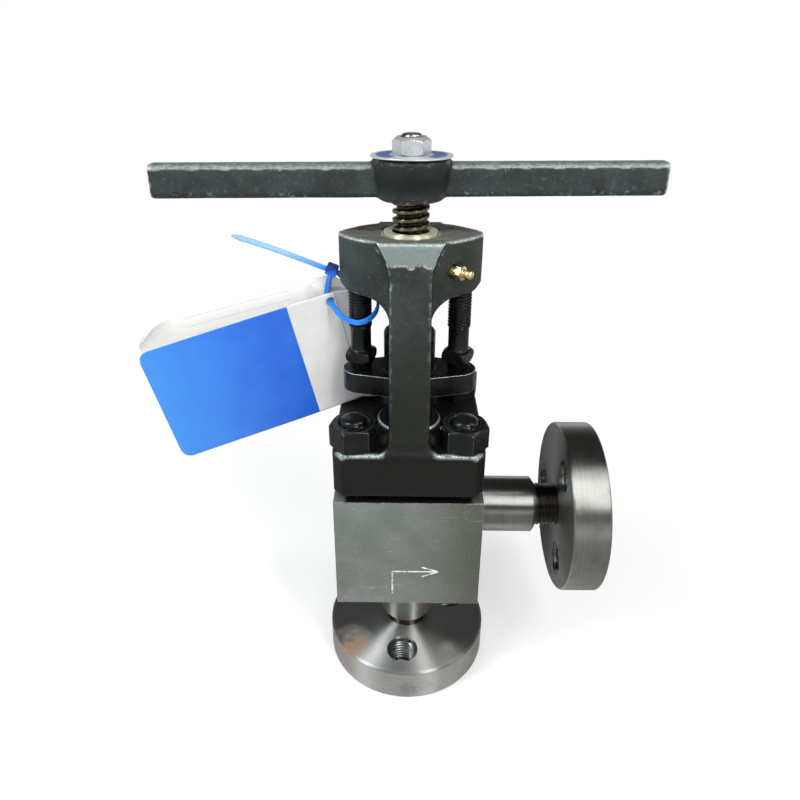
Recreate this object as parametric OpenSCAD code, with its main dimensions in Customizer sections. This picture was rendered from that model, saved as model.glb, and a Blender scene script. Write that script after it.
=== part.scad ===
// Angle globe valve with threaded high-pressure flanges, a two-armed forged yoke and a T-handle.
// Origin: centre of the inlet flange's underside. +Z runs up the stem, +X towards the outlet flange.

/* [Legs and passage] */
// Distance from the crossing of the two port axes to each flange face
leg = 105; // [101:1:130]
// Nominal bore of the flow passage
port_d = 15; // [10:0.5:17]

/* [Body block] */
// Side of the square body block
body_w = 78; // [76:1:94]
// Height of the block above the outlet axis
body_above = 29; // [27:1:36]
// Diameter of the valve chamber in the block
chamber_d = 27; // [26:0.5:30]

/* [Necks] */
// Outer diameter of the turned necks
neck_d = 31.5; // [29:0.5:36]
// Length of the inlet neck from the block's face to the end of its chamfer
inlet_neck_l = 40.5; // [28:0.5:42]
// Length of the outlet neck from the block's face to the end of its chamfer
outlet_neck_l = 34; // [28:0.5:42]
// Height of the chamfer at the neck's end
neck_chamfer = 2.5; // [2:0.5:5]
// Outer diameter of the neck's threaded end
thread_d = 23.8; // [22:0.1:26]
// How far the threaded end stays short of the flange's outer face
thread_recess = 1.5; // [0.5:0.5:3]

/* [Flanges] */
// Outer diameter of each flange
flange_d = 95; // [88:1:115]
// Thickness of each flange
flange_t = 20; // [16:1:24]
// Diameter of the circle through the bolt holes
bolt_circle = 60; // [56:1:66]
// Diameter of each bolt hole
bolt_hole_d = 18; // [12:1:20]
// Bolt holes in each flange
bolt_holes = 3; // [3:1:4]
// Chamfer on the flange's outer edges
flange_edge = 1; // [0.5:0.5:2]
// Turn of the inlet flange's first hole about the stem axis
inlet_turn = -95; // [-180:1:180]
// Turn of the outlet flange's first hole about the outlet axis
outlet_turn = 65; // [-180:1:180]

/* [Seat and disc] */
// Height of the seat's top below the outlet axis
seat_drop = 9; // [8:0.5:10]
// Height of the seat ring
seat_h = 12; // [8:1:14]
// Depth of the seat's cone
seat_cone = 2; // [1:0.5:3]
// Outer diameter of the valve disc
disc_d = 21.6; // [20:0.2:22]
// Height of the valve disc above the seat
disc_h = 13.7; // [12:0.1:16]

/* [Bonnet] */
// Diameter of the bonnet's flange between the body and the yoke
bonnet_flange_d = 64; // [52:1:64]
// Thickness of the bonnet's flange, which shows as a gap
bonnet_flange_t = 3.5; // [2:0.5:6]
// Diameter of the bonnet's boss in the yoke's base
bonnet_boss_d = 34.4; // [33:0.2:36]
// Diameter of the packing bore
packing_d = 25.2; // [24:0.2:26]
// Depth of the packing bore
packing_depth = 13.5; // [8:0.5:18]
// How far the bonnet's rim stands above the yoke's base
rim_proud = 0.6; // [0:0.1:2]
// Chamfer on the bonnet's rim
rim_chamfer = 1; // [0.5:0.5:2]

/* [Yoke] */
// Side of the yoke's square base
base_w = 78; // [76:1:94]
// Thickness of the yoke's base
base_t = 25.5; // [20:0.5:32]
// Corner chamfer of the yoke's base, seen from above
base_corner = 5; // [2:0.5:8]
// Clear height between the base and the top block
window_h = 74.5; // [70:0.5:90]
// Clear width between the arms at the base
window_foot = 41; // [38:0.5:44]
// Clear width between the arms at the top block
window_head = 29; // [28.5:0.5:32]
// Height of the top block
block_h = 28.5; // [24:0.5:36]
// Depth of the top block, front to back
block_d = 43; // [38:0.5:50]
// Length of the top block's pointed plan before its tips are cut
block_l = 73; // [72:0.5:84]
// Length of the top block over its cut tips
block_tip_l = 70.6; // [70:0.2:71]
// Chamfer under the top block's tips
block_chamfer = 4; // [2:0.5:6]
// Width of each arm
arm_w = 20.6; // [16:0.2:26]
// Depth over both arms where they meet the base
arm_foot = 76; // [70:1:77]
// Radius where an arm spreads under the top block
arch_r = 14; // [8:0.5:15]
// Radius where an arm spreads onto the base
foot_r = 7; // [3:0.5:9]
// Half width of the arm's face at the very top
facet_half = 17; // [14:0.5:20]
// Height over which the arm's face widens
facet_h = 21; // [14:0.5:24]

/* [Yoke bushing] */
// Outer diameter of the bronze bushing
bushing_d = 26.4; // [24:0.2:30]
// How far the bushing stands above the block
bushing_proud = 0.6; // [0.2:0.1:1.5]
// Height of the bushing inside the block
bushing_h = 26; // [18:0.5:28]

/* [Studs and nuts] */
// Distance between stud centres, both ways
stud_spacing = 56; // [54:0.5:60]
// Stud diameter
stud_d = 14; // [12:0.5:17]
// Depth of the studs in the body
stud_depth = 22; // [14:1:26]
// How far the studs stand above their nuts
stud_proud = 3.6; // [2:0.2:8]
// Width across flats of the base nuts
nut_af = 22; // [19:0.5:24]
// Height of the base nuts
nut_h = 12.8; // [10:0.2:16]

/* [Gland] */
// Distance of the gland bolts from the stem axis
gland_bolt_x = 25.3; // [24:0.1:26.5]
// Diameter of the gland bolts' thread
gland_bolt_d = 12; // [10:0.5:12]
// Diameter of the gland bolts' plain shank
gland_shank_d = 10.7; // [8:0.1:11]
// Depth of the gland bolts in the top block
gland_bolt_depth = 18; // [12:1:22]
// Length of thread that shows below the top block
gland_thread_show = 21; // [10:1:30]
// Side of the gland bolts' square heads
gland_head_w = 13.5; // [11:0.5:15]
// Height of the gland bolts' heads
gland_head_h = 7; // [5:0.5:10]
// Height of the bolts' round points under their heads
gland_point_h = 4.3; // [3:0.1:8]
// Diameter of the bolts' round points
gland_point_d = 11; // [7:0.2:12]
// Height of the gland plate's top above the yoke's base
gland_plate_z = 30; // [28:0.5:33]
// Thickness of the gland plate
gland_plate_t = 11; // [9:0.5:12]
// Radius of the gland plate's round middle
gland_mid_r = 15.6; // [15:0.1:16]
// Radius of the gland plate's round ends
gland_end_r = 9.7; // [8:0.1:11]
// Outer diameter of the sleeve above the plate
sleeve_d = 26.8; // [24:0.2:27.2]
// Height of the sleeve above the plate
sleeve_h = 21.8; // [12:0.2:28]
// Diameter of the sleeve's shoulder under the plate
shoulder_d = 30.4; // [29:0.2:32]
// Height of the sleeve's shoulder
shoulder_h = 7; // [4:0.5:10]

/* [Stem] */
// Outer diameter of the stem's thread
stem_d = 18; // [16:0.5:22]
// Diameter of the stem's end in the valve disc
stem_tip_d = 10; // [8:0.5:12]
// Diameter of the stem inside the handle
stem_head_d = 16; // [14:0.5:17]
// Diameter of the stem's top thread, under the nut
stem_stud_d = 10; // [8:0.5:12]
// Gap between the yoke and the handle with the valve shut
handle_gap = 15.6; // [10:0.2:24]

/* [Handle] */
// Length of the T-handle over both ends
handle_l = 241; // [180:1:300]
// Depth of the handle's bar
bar_d = 11; // [9:0.5:16]
// Height of the handle's bar
bar_h = 16; // [10:0.5:18]
// Height of the bar's underside above the hub's underside
bar_lift = 1.2; // [1:0.1:5]
// Edge chamfer of the handle's bar
bar_edge = 2; // [1:0.5:3]
// Height of the handle's hub
hub_h = 19.8; // [19.5:0.1:26]
// Largest diameter of the hub
hub_d = 37.2; // [34:0.2:44]
// Diameter of the hub's underside
hub_foot_d = 30; // [26:0.5:32]
// Turn of the handle about the stem with the valve shut
handle_turn = 2.8; // [-180:0.1:180]

/* [Top disc and nut] */
// Diameter of the thin disc on the hub
top_disc_d = 39; // [30:0.2:46]
// Thickness of the disc
top_disc_t = 0.8; // [0.6:0.1:2]
// Width across flats of the stem nut
top_nut_af = 16; // [15:0.5:19]
// Height of the stem nut
top_nut_h = 8; // [6:0.2:10]
// How far the stem stands above its nut
stem_proud = 1.4; // [1:0.2:5]

/* [Grease nipple] */
// Distance of the nipple from the yoke's middle plane
nipple_x = 20.8; // [19:0.2:24]
// Height of the nipple above the block's underside
nipple_z = 13.5; // [9:0.1:18]
// Outward turn of the nipple in plan
nipple_turn = 52; // [30:1:60]
// Upward tilt of the nipple
nipple_tilt = 0; // [0:1:20]
// Width across flats of the nipple's hexagon
nipple_af = 6.5; // [6:0.1:8]

/* [Tag and tie] */
// Length of the folded card's front leaf, up to its crease
card_l = 103; // [80:1:110]
// Height of the card's front leaf
card_h = 67; // [50:0.5:72]
// Height of the card's back leaf
card_back_h = 64; // [50:0.5:72]
// Thickness of the card
card_t = 0.8; // [0.6:0.1:1]
// Width of the strip between the crease and the card's fold
card_strip = 7.5; // [6:0.5:9]
// Gap between the leaves where they hang open
card_gap = 16; // [8:1:24]
// How far the back leaf stands higher than the front one
card_rise = 8; // [5:0.5:10]
// Diameter of the strap
strap_d = 2.2; // [1.6:0.1:2.2]

/* [Hidden] */

$fn = 96;
// Clearance of a turning shaft in its bore, on the radius
running = 0.06;
// Clearance between fixed round pieces, on the radius
seated = 0.05;
// Clearance of a bolt in a drilled hole, on the radius
drilled = 0.5;
// Gap between the shut disc and its seat
disc_gap = 0.3;
// Distance of the nipple's hexagon from the block's face
nipple_lift = 1.5;
// How far arcs run past the faces they blend into
blend = 0.3;
// Extra length of a cutting shape past a face
past = 1;

body_top = leg + body_above;
base_z = body_top + bonnet_flange_t;
base_top = base_z + base_t;
block_z = base_top + window_h;
block_top = block_z + block_h;
seat_z = leg - seat_drop;
hub_z = block_top + handle_gap;
hub_top = hub_z + hub_h;
disc_z = seat_z + disc_gap;
plate_top = base_top + gland_plate_z;
plate_z = plate_top - gland_plate_t;
head_z = plate_top + gland_point_h;
// Radius of each curved face of the top block's plan
lens_r = (pow(block_l / 2, 2) + pow(block_d / 2, 2)) / block_d;
// Turn of each base nut, as the spanner left it
nut_turns = [10, -14, 20, 0];
// Turn of the left and right gland bolt heads
head_turns = [-16, -28];

// A bar of square section whose profile is drawn in the X-Z plane, from y0 to y1
module drawn_along_y(y0, y1)
    translate([0, y1, 0])
        rotate([90, 0, 0])
            linear_extrude(y1 - y0)
                children();

// A bar whose profile is drawn in the Y-Z plane, from x0 to x1
module drawn_along_x(x0, x1)
    translate([x0, 0, 0])
        rotate([90, 0, 90])
            linear_extrude(x1 - x0)
                children();

// Turn a piece that stands on the stem axis onto the outlet axis
module on_outlet()
    translate([leg, 0, leg])
        rotate([0, -90, 0])
            children();

/* ---- body ---- */

module body_block()
    color([0.42, 0.45, 0.42])
        difference() {
            translate([-body_w / 2, -body_w / 2, leg - body_w / 2])
                cube([body_w, body_w, body_w / 2 + body_above]);
            translate([0, 0, leg - body_w / 2 - past])
                cylinder(d = port_d, h = body_w);
            translate([0, 0, seat_z - seat_h])
                cylinder(d = chamber_d, h = body_w);
            translate([0, 0, leg])
                rotate([0, 90, 0])
                    cylinder(d = port_d, h = body_w);
            for (i = [0:3])
                translate([corner_x(i), corner_y(i), body_top - stud_depth])
                    cylinder(d = stud_d + 2 * seated, h = stud_depth + past);
        }

// A turned neck that stands on z = 0 as the flange's face, with its threaded end below
module neck(length) {
    chamfer_z = leg - body_w / 2 - length;
    rotate_extrude()
        polygon([
            [port_d / 2, thread_recess + seat_cone],
            [port_d / 2 + seat_cone, thread_recess],
            [thread_d / 2 - flange_edge, thread_recess],
            [thread_d / 2, thread_recess + flange_edge],
            [thread_d / 2, chamfer_z],
            [neck_d / 2, chamfer_z + neck_chamfer],
            [neck_d / 2, leg - body_w / 2],
            [port_d / 2, leg - body_w / 2]
        ]);
}

module inlet_neck()
    color([0.66, 0.66, 0.64])
        neck(inlet_neck_l);

module outlet_neck()
    color([0.66, 0.66, 0.64])
        on_outlet()
            neck(outlet_neck_l);

// A round flange on z = 0 with a threaded middle hole and bolt holes
module flange(first_hole)
    difference() {
        rotate_extrude()
            polygon([
                [thread_d / 2 + seated, 0],
                [flange_d / 2 - flange_edge, 0],
                [flange_d / 2, flange_edge],
                [flange_d / 2, flange_t - flange_edge],
                [flange_d / 2 - flange_edge, flange_t],
                [thread_d / 2 + seated, flange_t]
            ]);
        for (i = [0:bolt_holes - 1])
            rotate([0, 0, first_hole + i * 360 / bolt_holes])
                translate([bolt_circle / 2, 0, -past])
                    cylinder(d = bolt_hole_d, h = flange_t + 2 * past);
    }

module inlet_flange()
    color([0.72, 0.72, 0.71])
        flange(inlet_turn);

module outlet_flange()
    color([0.72, 0.72, 0.71])
        on_outlet()
            flange(outlet_turn - 90);

module seat_ring()
    color([0.6, 0.6, 0.58])
        rotate_extrude()
            polygon([
                [port_d / 2, seat_z - seat_h],
                [chamber_d / 2 - seated, seat_z - seat_h],
                [chamber_d / 2 - seated, seat_z],
                [port_d / 2 + seat_cone, seat_z],
                [port_d / 2, seat_z - seat_cone]
            ]);

module valve_disc()
    color([0.62, 0.62, 0.6])
        difference() {
            union() {
                translate([0, 0, disc_z])
                    cylinder(d = disc_d, h = disc_h);
                translate([0, 0, disc_z - seat_cone])
                    cylinder(r1 = port_d / 2 - disc_gap, r2 = port_d / 2 + seat_cone - disc_gap, h = seat_cone);
            }
            translate([0, 0, disc_z + disc_h / 2])
                cylinder(d = stem_tip_d + 2 * running, h = disc_h);
        }

/* ---- bonnet and yoke ---- */

module bonnet()
    color([0.3, 0.3, 0.28])
        difference() {
            rotate_extrude()
                polygon([
                    [stem_d / 2 + running, body_top],
                    [bonnet_flange_d / 2, body_top],
                    [bonnet_flange_d / 2, base_z],
                    [bonnet_boss_d / 2, base_z],
                    [bonnet_boss_d / 2, base_top + rim_proud - rim_chamfer],
                    [bonnet_boss_d / 2 - rim_chamfer, base_top + rim_proud],
                    [packing_d / 2, base_top + rim_proud],
                    [packing_d / 2, base_top + rim_proud - packing_depth],
                    [stem_d / 2 + running, base_top + rim_proud - packing_depth]
                ]);
            for (i = [0:3])
                translate([corner_x(i), corner_y(i), body_top - past])
                    cylinder(d = stud_d + 2 * drilled, h = bonnet_flange_t + 2 * past);
        }

// The pointed plan of the top block, from z0 to z1
module lens(z0, z1)
    translate([0, 0, z0])
        linear_extrude(z1 - z0)
            intersection() {
                translate([0, lens_r - block_d / 2])
                    circle(r = lens_r, $fn = 180);
                translate([0, block_d / 2 - lens_r])
                    circle(r = lens_r, $fn = 180);
                square([block_tip_l, block_d], center = true);
            }

// One arm's outline seen from the front, with its spread foot and its widening face
module arm_front() {
    half = arm_w / 2;
    flare = facet_half - half;
    flare_r = (pow(facet_h, 2) + pow(flare, 2)) / (2 * flare);
    translate([-half, base_top - past])
        square([arm_w, block_top - base_top + past]);
    for (side = [-1, 1])
        scale([side, 1]) {
            difference() {
                translate([half - past, base_top - past])
                    square([foot_r + past, foot_r + past]);
                translate([half + foot_r - blend, base_top + foot_r - blend])
                    circle(r = foot_r);
            }
            difference() {
                translate([half - past, block_top - facet_h])
                    square([flare + past, facet_h]);
                translate([half + flare_r - blend, block_top - facet_h])
                    circle(r = flare_r, $fn = 180);
            }
        }
}

// One arm's outline seen from the side, leaning out towards the base
module arm_side()
    polygon([
        [window_head / 2, block_top],
        [block_d / 2, block_top],
        [arm_foot / 2, base_top],
        [arm_foot / 2, base_top - past],
        [window_foot / 2, base_top - past],
        [window_foot / 2, base_top],
        [window_head / 2, block_z]
    ]);

// The arch under the top block, seen from the front
module arch_front()
    for (side = [-1, 1])
        scale([side, 1])
            difference() {
                translate([arm_w / 2 - past, block_z - arch_r])
                    square([arch_r + past, arch_r + past]);
                translate([arm_w / 2 + arch_r - blend, block_z - arch_r + blend])
                    circle(r = arch_r);
            }

// The clear space between the arms, seen from the side
module window_side()
    polygon([
        [-window_foot / 2, base_top],
        [window_foot / 2, base_top],
        [window_head / 2, block_z],
        [-window_head / 2, block_z]
    ]);

// The square base with its corners cut
module yoke_base()
    translate([0, 0, base_z])
        linear_extrude(base_t)
            polygon([for (i = [0:3], side = [-1, 1])
                let(near = base_w / 2 - base_corner, far = base_w / 2)
                    [
                        cos(90 * i) * far - sin(90 * i) * side * near,
                        sin(90 * i) * far + cos(90 * i) * side * near
                    ]
            ]);

// The top block, with its tips chamfered underneath
module yoke_block()
    intersection() {
        lens(block_z, block_top);
        drawn_along_y(-block_d / 2, block_d / 2)
            polygon([
                [-block_l / 2, block_top],
                [block_l / 2, block_top],
                [block_l / 2, block_z + block_chamfer],
                [block_tip_l / 2 - block_chamfer, block_z],
                [block_chamfer - block_tip_l / 2, block_z],
                [-block_l / 2, block_z + block_chamfer]
            ]);
    }

module nipple_place()
    translate([nipple_x, -nipple_wall(nipple_x), block_z + nipple_z])
        rotate([90 - nipple_tilt, 0, nipple_turn])
            children();

// Half depth of the top block at a distance from the stem axis
function nipple_wall(x) = sqrt(pow(lens_r, 2) - pow(x, 2)) - (lens_r - block_d / 2);

module yoke()
    color([0.2, 0.23, 0.2])
        difference() {
            union() {
                yoke_base();
                yoke_block();
                difference() {
                    intersection() {
                        lens(block_z - arch_r, block_z + past);
                        drawn_along_y(-block_d / 2, block_d / 2)
                            arch_front();
                    }
                    drawn_along_x(-block_l / 2, block_l / 2)
                        window_side();
                }
                for (turn = [0, 180])
                    rotate([0, 0, turn])
                        intersection() {
                            drawn_along_x(-body_w / 2, body_w / 2)
                                arm_side();
                            drawn_along_y(0, base_w / 2)
                                arm_front();
                        }
            }
            translate([0, 0, base_z - past])
                cylinder(d = bonnet_boss_d + 2 * seated, h = base_t + 2 * past);
            translate([0, 0, block_top - bushing_h])
                cylinder(d = bushing_d + 2 * seated, h = bushing_h + past);
            translate([0, 0, block_z - past])
                cylinder(d = stem_d + 2 * drilled, h = block_h);
            for (i = [0:3])
                translate([corner_x(i), corner_y(i), base_z - past])
                    cylinder(d = stud_d + 2 * drilled, h = base_t + 2 * past);
            for (side = [-1, 1])
                translate([side * gland_bolt_x, 0, block_z - past])
                    cylinder(d = gland_bolt_d + 2 * seated, h = gland_bolt_depth + past + drilled);
            nipple_place()
                translate([0, 0, -nipple_af])
                    cylinder(d = nipple_af - past, h = 2 * nipple_af);
        }

module yoke_bushing()
    color([0.72, 0.66, 0.45])
        translate([0, 0, block_top - bushing_h])
            difference() {
                cylinder(d = bushing_d, h = bushing_h + bushing_proud);
                translate([0, 0, -past])
                    cylinder(d = stem_d + 2 * running, h = bushing_h + bushing_proud + 2 * past);
            }

// A grease nipple: threaded end in the yoke, hexagon, neck and round head
module grease_nipple()
    color([0.8, 0.65, 0.3])
        nipple_place() {
            head_r = nipple_af * 0.37;
            neck_r = nipple_af * 0.27;
            hex_h = nipple_af * 0.5;
            translate([0, 0, -nipple_af * 0.8])
                cylinder(d = nipple_af - past - 2 * seated, h = nipple_af * 0.8 + nipple_lift);
            translate([0, 0, nipple_lift])
                cylinder(d = nipple_af / cos(30), h = hex_h, $fn = 6);
            translate([0, 0, nipple_lift])
                cylinder(r = neck_r, h = hex_h + nipple_af * 0.5);
            translate([0, 0, nipple_lift + hex_h + nipple_af * 0.45])
                sphere(r = head_r);
        }

/* ---- studs, nuts and gland ---- */

// A hexagon nut on z = 0 with chamfered corners and a plain bore
module nut(af, height, bore) {
    corner = af / cos(30) / 2;
    bevel = corner - af / 2;
    difference() {
        intersection() {
            cylinder(r = corner, h = height, $fn = 6);
            rotate_extrude()
                polygon([
                    [0, 0],
                    [af / 2, 0],
                    [corner, bevel],
                    [corner, height - bevel],
                    [af / 2, height],
                    [0, height]
                ]);
        }
        translate([0, 0, -past])
            cylinder(d = bore, h = height + 2 * past);
    }
}

// Corner of the stud square: 0 front left, 1 front right, 2 back right, 3 back left
function corner_x(i) = (i == 0 || i == 3 ? -1 : 1) * stud_spacing / 2;
function corner_y(i) = (i < 2 ? -1 : 1) * stud_spacing / 2;

module base_stud(i)
    color([0.16, 0.16, 0.16])
        translate([corner_x(i), corner_y(i), body_top - stud_depth])
            rotate_extrude()
                let(top = stud_depth + base_z + base_t - body_top + nut_h + stud_proud)
                    polygon([
                        [0, 0],
                        [stud_d / 2, 0],
                        [stud_d / 2, top - stud_proud / 2],
                        [stud_d / 4, top],
                        [0, top]
                    ]);

module base_nut(i)
    color([0.16, 0.16, 0.16])
        translate([corner_x(i), corner_y(i), base_top])
            rotate([0, 0, nut_turns[i]])
                nut(nut_af, nut_h, stud_d + 2 * seated);

module gland_sleeve()
    color([0.12, 0.12, 0.12])
        rotate_extrude()
            polygon([
                [stem_d / 2 + running, base_top + rim_proud - packing_depth + past],
                [packing_d / 2 - seated, base_top + rim_proud - packing_depth + past],
                [packing_d / 2 - seated, plate_z - shoulder_h],
                [shoulder_d / 2, plate_z - shoulder_h],
                [shoulder_d / 2, plate_z],
                [sleeve_d / 2, plate_z],
                [sleeve_d / 2, plate_top + sleeve_h - rim_chamfer],
                [sleeve_d / 2 - rim_chamfer, plate_top + sleeve_h],
                [stem_d / 2 + running, plate_top + sleeve_h]
            ]);

// Plan of the gland plate: a round middle and two round ends joined by straight flanks
module gland_plan() {
    lean = asin((gland_mid_r - gland_end_r) / gland_bolt_x);
    ends = [for (a = [lean - 90:6:90 - lean + 1]) [
        gland_bolt_x + gland_end_r * cos(a), gland_end_r * sin(a)
    ]];
    middle = [for (a = [90 - lean:4:90 + lean + 1]) [gland_mid_r * cos(a), gland_mid_r * sin(a)]];
    half = concat(ends, middle);
    polygon(concat(half, [for (p = half) -p]));
}

module gland_plate()
    color([0.13, 0.13, 0.13])
        translate([0, 0, plate_z])
            difference() {
                linear_extrude(gland_plate_t)
                    gland_plan();
                translate([0, 0, -past])
                    cylinder(d = sleeve_d + 2 * seated, h = gland_plate_t + 2 * past);
            }

// A gland bolt: threaded up into the block, square head low, round point on the plate
module gland_bolt(side)
    color([0.15, 0.15, 0.15])
        translate([side * gland_bolt_x, 0, 0]) {
            translate([0, 0, plate_top])
                cylinder(d = gland_point_d, h = gland_point_h + past);
            translate([0, 0, head_z])
                rotate([0, 0, head_turns[side < 0 ? 0 : 1]])
                    intersection() {
                        translate([-gland_head_w / 2, -gland_head_w / 2, 0])
                            cube([gland_head_w, gland_head_w, gland_head_h]);
                        rotate_extrude()
                            polygon([
                                [0, 0],
                                [gland_head_w / 2, 0],
                                [gland_head_w * 0.7, gland_head_h * 0.3],
                                [gland_head_w * 0.7, gland_head_h * 0.8],
                                [gland_head_w * 0.6, gland_head_h],
                                [0, gland_head_h]
                            ]);
                    }
            translate([0, 0, head_z + gland_head_h - past])
                cylinder(d = gland_shank_d, h = block_z - head_z - gland_head_h + past);
            translate([0, 0, block_z - gland_thread_show])
                cylinder(d = gland_bolt_d, h = gland_thread_show + gland_bolt_depth);
        }

/* ---- stem and handle ---- */

module stem()
    color([0.45, 0.38, 0.28])
        rotate_extrude()
            polygon([
                [0, disc_z + disc_h / 2 + disc_gap],
                [stem_tip_d / 2, disc_z + disc_h / 2 + disc_gap],
                [stem_tip_d / 2, disc_z + disc_h + disc_gap],
                [stem_d / 2, disc_z + disc_h + disc_gap],
                [stem_d / 2, hub_z],
                [stem_head_d / 2, hub_z],
                [stem_head_d / 2, hub_top],
                [stem_stud_d / 2, hub_top],
                [stem_stud_d / 2, stem_top - 1],
                [stem_stud_d / 3, stem_top],
                [0, stem_top]
            ]);

nut_z = hub_top + top_disc_t;
stem_top = nut_z + top_nut_h + stem_proud;

module handle()
    color([0.2, 0.23, 0.21])
        rotate([0, 0, handle_turn])
            difference() {
                union() {
                    translate([0, 0, hub_z])
                        rotate_extrude()
                            polygon([
                                [0, 0],
                                [hub_foot_d / 2, 0],
                                [hub_foot_d / 2 + bar_lift, bar_lift],
                                [hub_d / 2, hub_h * 0.6],
                                [hub_d / 2, hub_h * 0.9],
                                [hub_d / 2 - 1, hub_h],
                                [0, hub_h]
                            ]);
                    translate([0, 0, hub_z + bar_lift])
                        drawn_along_x(-handle_l / 2, handle_l / 2)
                            polygon([
                                [bar_edge - bar_d / 2, 0],
                                [bar_d / 2 - bar_edge, 0],
                                [bar_d / 2, bar_edge],
                                [bar_d / 2, bar_h - bar_edge],
                                [bar_d / 2 - bar_edge, bar_h],
                                [bar_edge - bar_d / 2, bar_h],
                                [-bar_d / 2, bar_h - bar_edge],
                                [-bar_d / 2, bar_edge]
                            ]);
                }
                translate([0, 0, hub_z - past])
                    cylinder(d = stem_head_d + 2 * seated, h = hub_h + 2 * past);
            }

module top_disc()
    color([0.75, 0.76, 0.78])
        translate([0, 0, hub_top])
            difference() {
                cylinder(d = top_disc_d, h = top_disc_t);
                translate([0, 0, -past])
                    cylinder(d = stem_stud_d + 2 * seated, h = top_disc_t + 2 * past);
            }

module stem_nut()
    color([0.72, 0.73, 0.75])
        translate([0, 0, nut_z])
            rotate([0, 0, handle_turn])
                nut(top_nut_af, top_nut_h, stem_stud_d + 2 * seated);

/* ---- tag and tie ---- */

// Where the left gland bolt enters the top block, which the tag and its tie follow
module at_left_bolt()
    translate([-gland_bolt_x, 0, block_z])
        children();

// Where the top of the card's crease is, from the left gland bolt's entry into the block
card_corner = [-14.2, 8.9, -5.7];
// Lean, droop and swing of the front leaf
card_turn = [2, -12.9, 17.4];
// Turn of the strip from the front leaf
strip_turn = -30;
// Distance between the leaves at the fold
card_nip = 3.6;
// Hole for the strap: distance from the crease, from the top, and diameter
card_hole = [3, 4.6, 4.6];

// Middle line of the front leaf, the strip and the fold in plan
fold_line = let(
        r = card_nip / 2,
        end = card_strip * [cos(strip_turn), sin(strip_turn)],
        centre = end + r * [-sin(strip_turn), cos(strip_turn)]
    ) concat(
        [[-card_l, 0], [0, 0]],
        [for (a = [-90:30:60]) centre + r * [cos(a + strip_turn), sin(a + strip_turn)]]
    );
// Middle line of the back leaf, from the fold to its free edge
back_line = [fold_line[len(fold_line) - 1], [0, card_nip + card_t / 2], [-card_l, card_gap]];

// Direction across a line of points, at point i
function across(line, i) =
    let(d = line[min(i + 1, len(line) - 1)] - line[max(i - 1, 0)])
        [-d[1], d[0]] / norm(d);

// A band of even thickness along a line of points
module band(line, thickness)
    polygon(concat(
        [for (i = [0:len(line) - 1]) line[i] + across(line, i) * thickness / 2],
        [for (i = [len(line) - 1:-1:0]) line[i] - across(line, i) * thickness / 2]
    ));

module tag_card()
    color([0.2, 0.45, 0.85])
        at_left_bolt()
            translate(card_corner)
                rotate(card_turn)
                    difference() {
                        union() {
                            translate([0, 0, -card_h])
                                linear_extrude(card_h)
                                    band(fold_line, card_t);
                            translate([0, 0, card_rise - card_back_h])
                                linear_extrude(card_back_h)
                                    band(back_line, card_t);
                        }
                        translate([-card_hole[0], -past, -card_hole[1]])
                            rotate([-90, 0, 0])
                                cylinder(d = card_hole[2], h = 2 * past);
                    }

// Where the strap's head is, from the left gland bolt's entry into the block
head_at = [-14.4, 6.3, 7];
// Size and turn of the strap's head
head_size = [6, 6, 5.6];
head_turn = 22;
// Route of the strap's free end, from its tip to the head
tail_points = [[-62.7, 2, 25.6], [-47.7, 3.5, 20.2], [-32.7, 5, 14.1], [-16.7, 6, 7.4]];
// Route of the strap's loop: down behind the card's front leaf, out through its hole, round the
// left gland bolt and back up behind the block's tip to the head
loop_points = [
    [-15, 7, 4.6], [-16, 8.4, 1.8], [-17, 9.7, -1.4], [-17.7, 10.1, -4.8], [-17.8, 10.1, -7.8],
    [-17.3, 9.8, -9.8], [-16.3, 8.6, -10.8], [-15.2, 6.4, -11.4], [-13, 2.6, -13.1],
    [-9.6, -2, -14.8], [-5.4, -6, -15.8], [-0.8, -8.4, -15.9], [3.8, -8.1, -14.7],
    [7.4, -5.4, -12.4], [9, -1.4, -9.6], [8.4, 3, -7], [5.6, 7, -5], [1.4, 9, -3.6],
    [-2.5, 9.2, -2.6], [-5.6, 8.4, -1.5], [-8, 7.6, 1.2], [-10.4, 7.2, 4], [-12.4, 6.8, 6.2]
];

// A round tube carried along a list of points
module tube(points, diameter) {
    sides = 8;
    count = len(points);
    rings = [for (i = [0:count - 1])
        let(
            along = points[min(i + 1, count - 1)] - points[max(i - 1, 0)],
            t = along / norm(along),
            flat = cross(t, [0.3, 1, 0.2]),
            side = flat / norm(flat),
            up = cross(side, t)
        )
            for (k = [0:sides - 1])
                points[i] + (side * cos(360 * k / sides) + up * sin(360 * k / sides)) * diameter / 2
    ];
    walls = [for (i = [0:count - 2], k = [0:sides - 1], half = [0, 1])
        let(a = i * sides + k, b = i * sides + (k + 1) % sides)
            half == 0 ? [a, b, b + sides] : [a, b + sides, a + sides]
    ];
    first = [for (k = [sides - 1:-1:0]) k];
    last = [for (k = [0:sides - 1]) (count - 1) * sides + k];
    polyhedron(points = rings, faces = concat([first], walls, [last]));
}

module tie_strap()
    color([0.25, 0.6, 0.95])
        at_left_bolt()
            for (route = [tail_points, loop_points])
                tube(route, strap_d);

module tie_head()
    color([0.05, 0.2, 0.6])
        at_left_bolt()
            translate(head_at)
                rotate([0, head_turn, 0])
                    cube(head_size, center = true);

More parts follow.
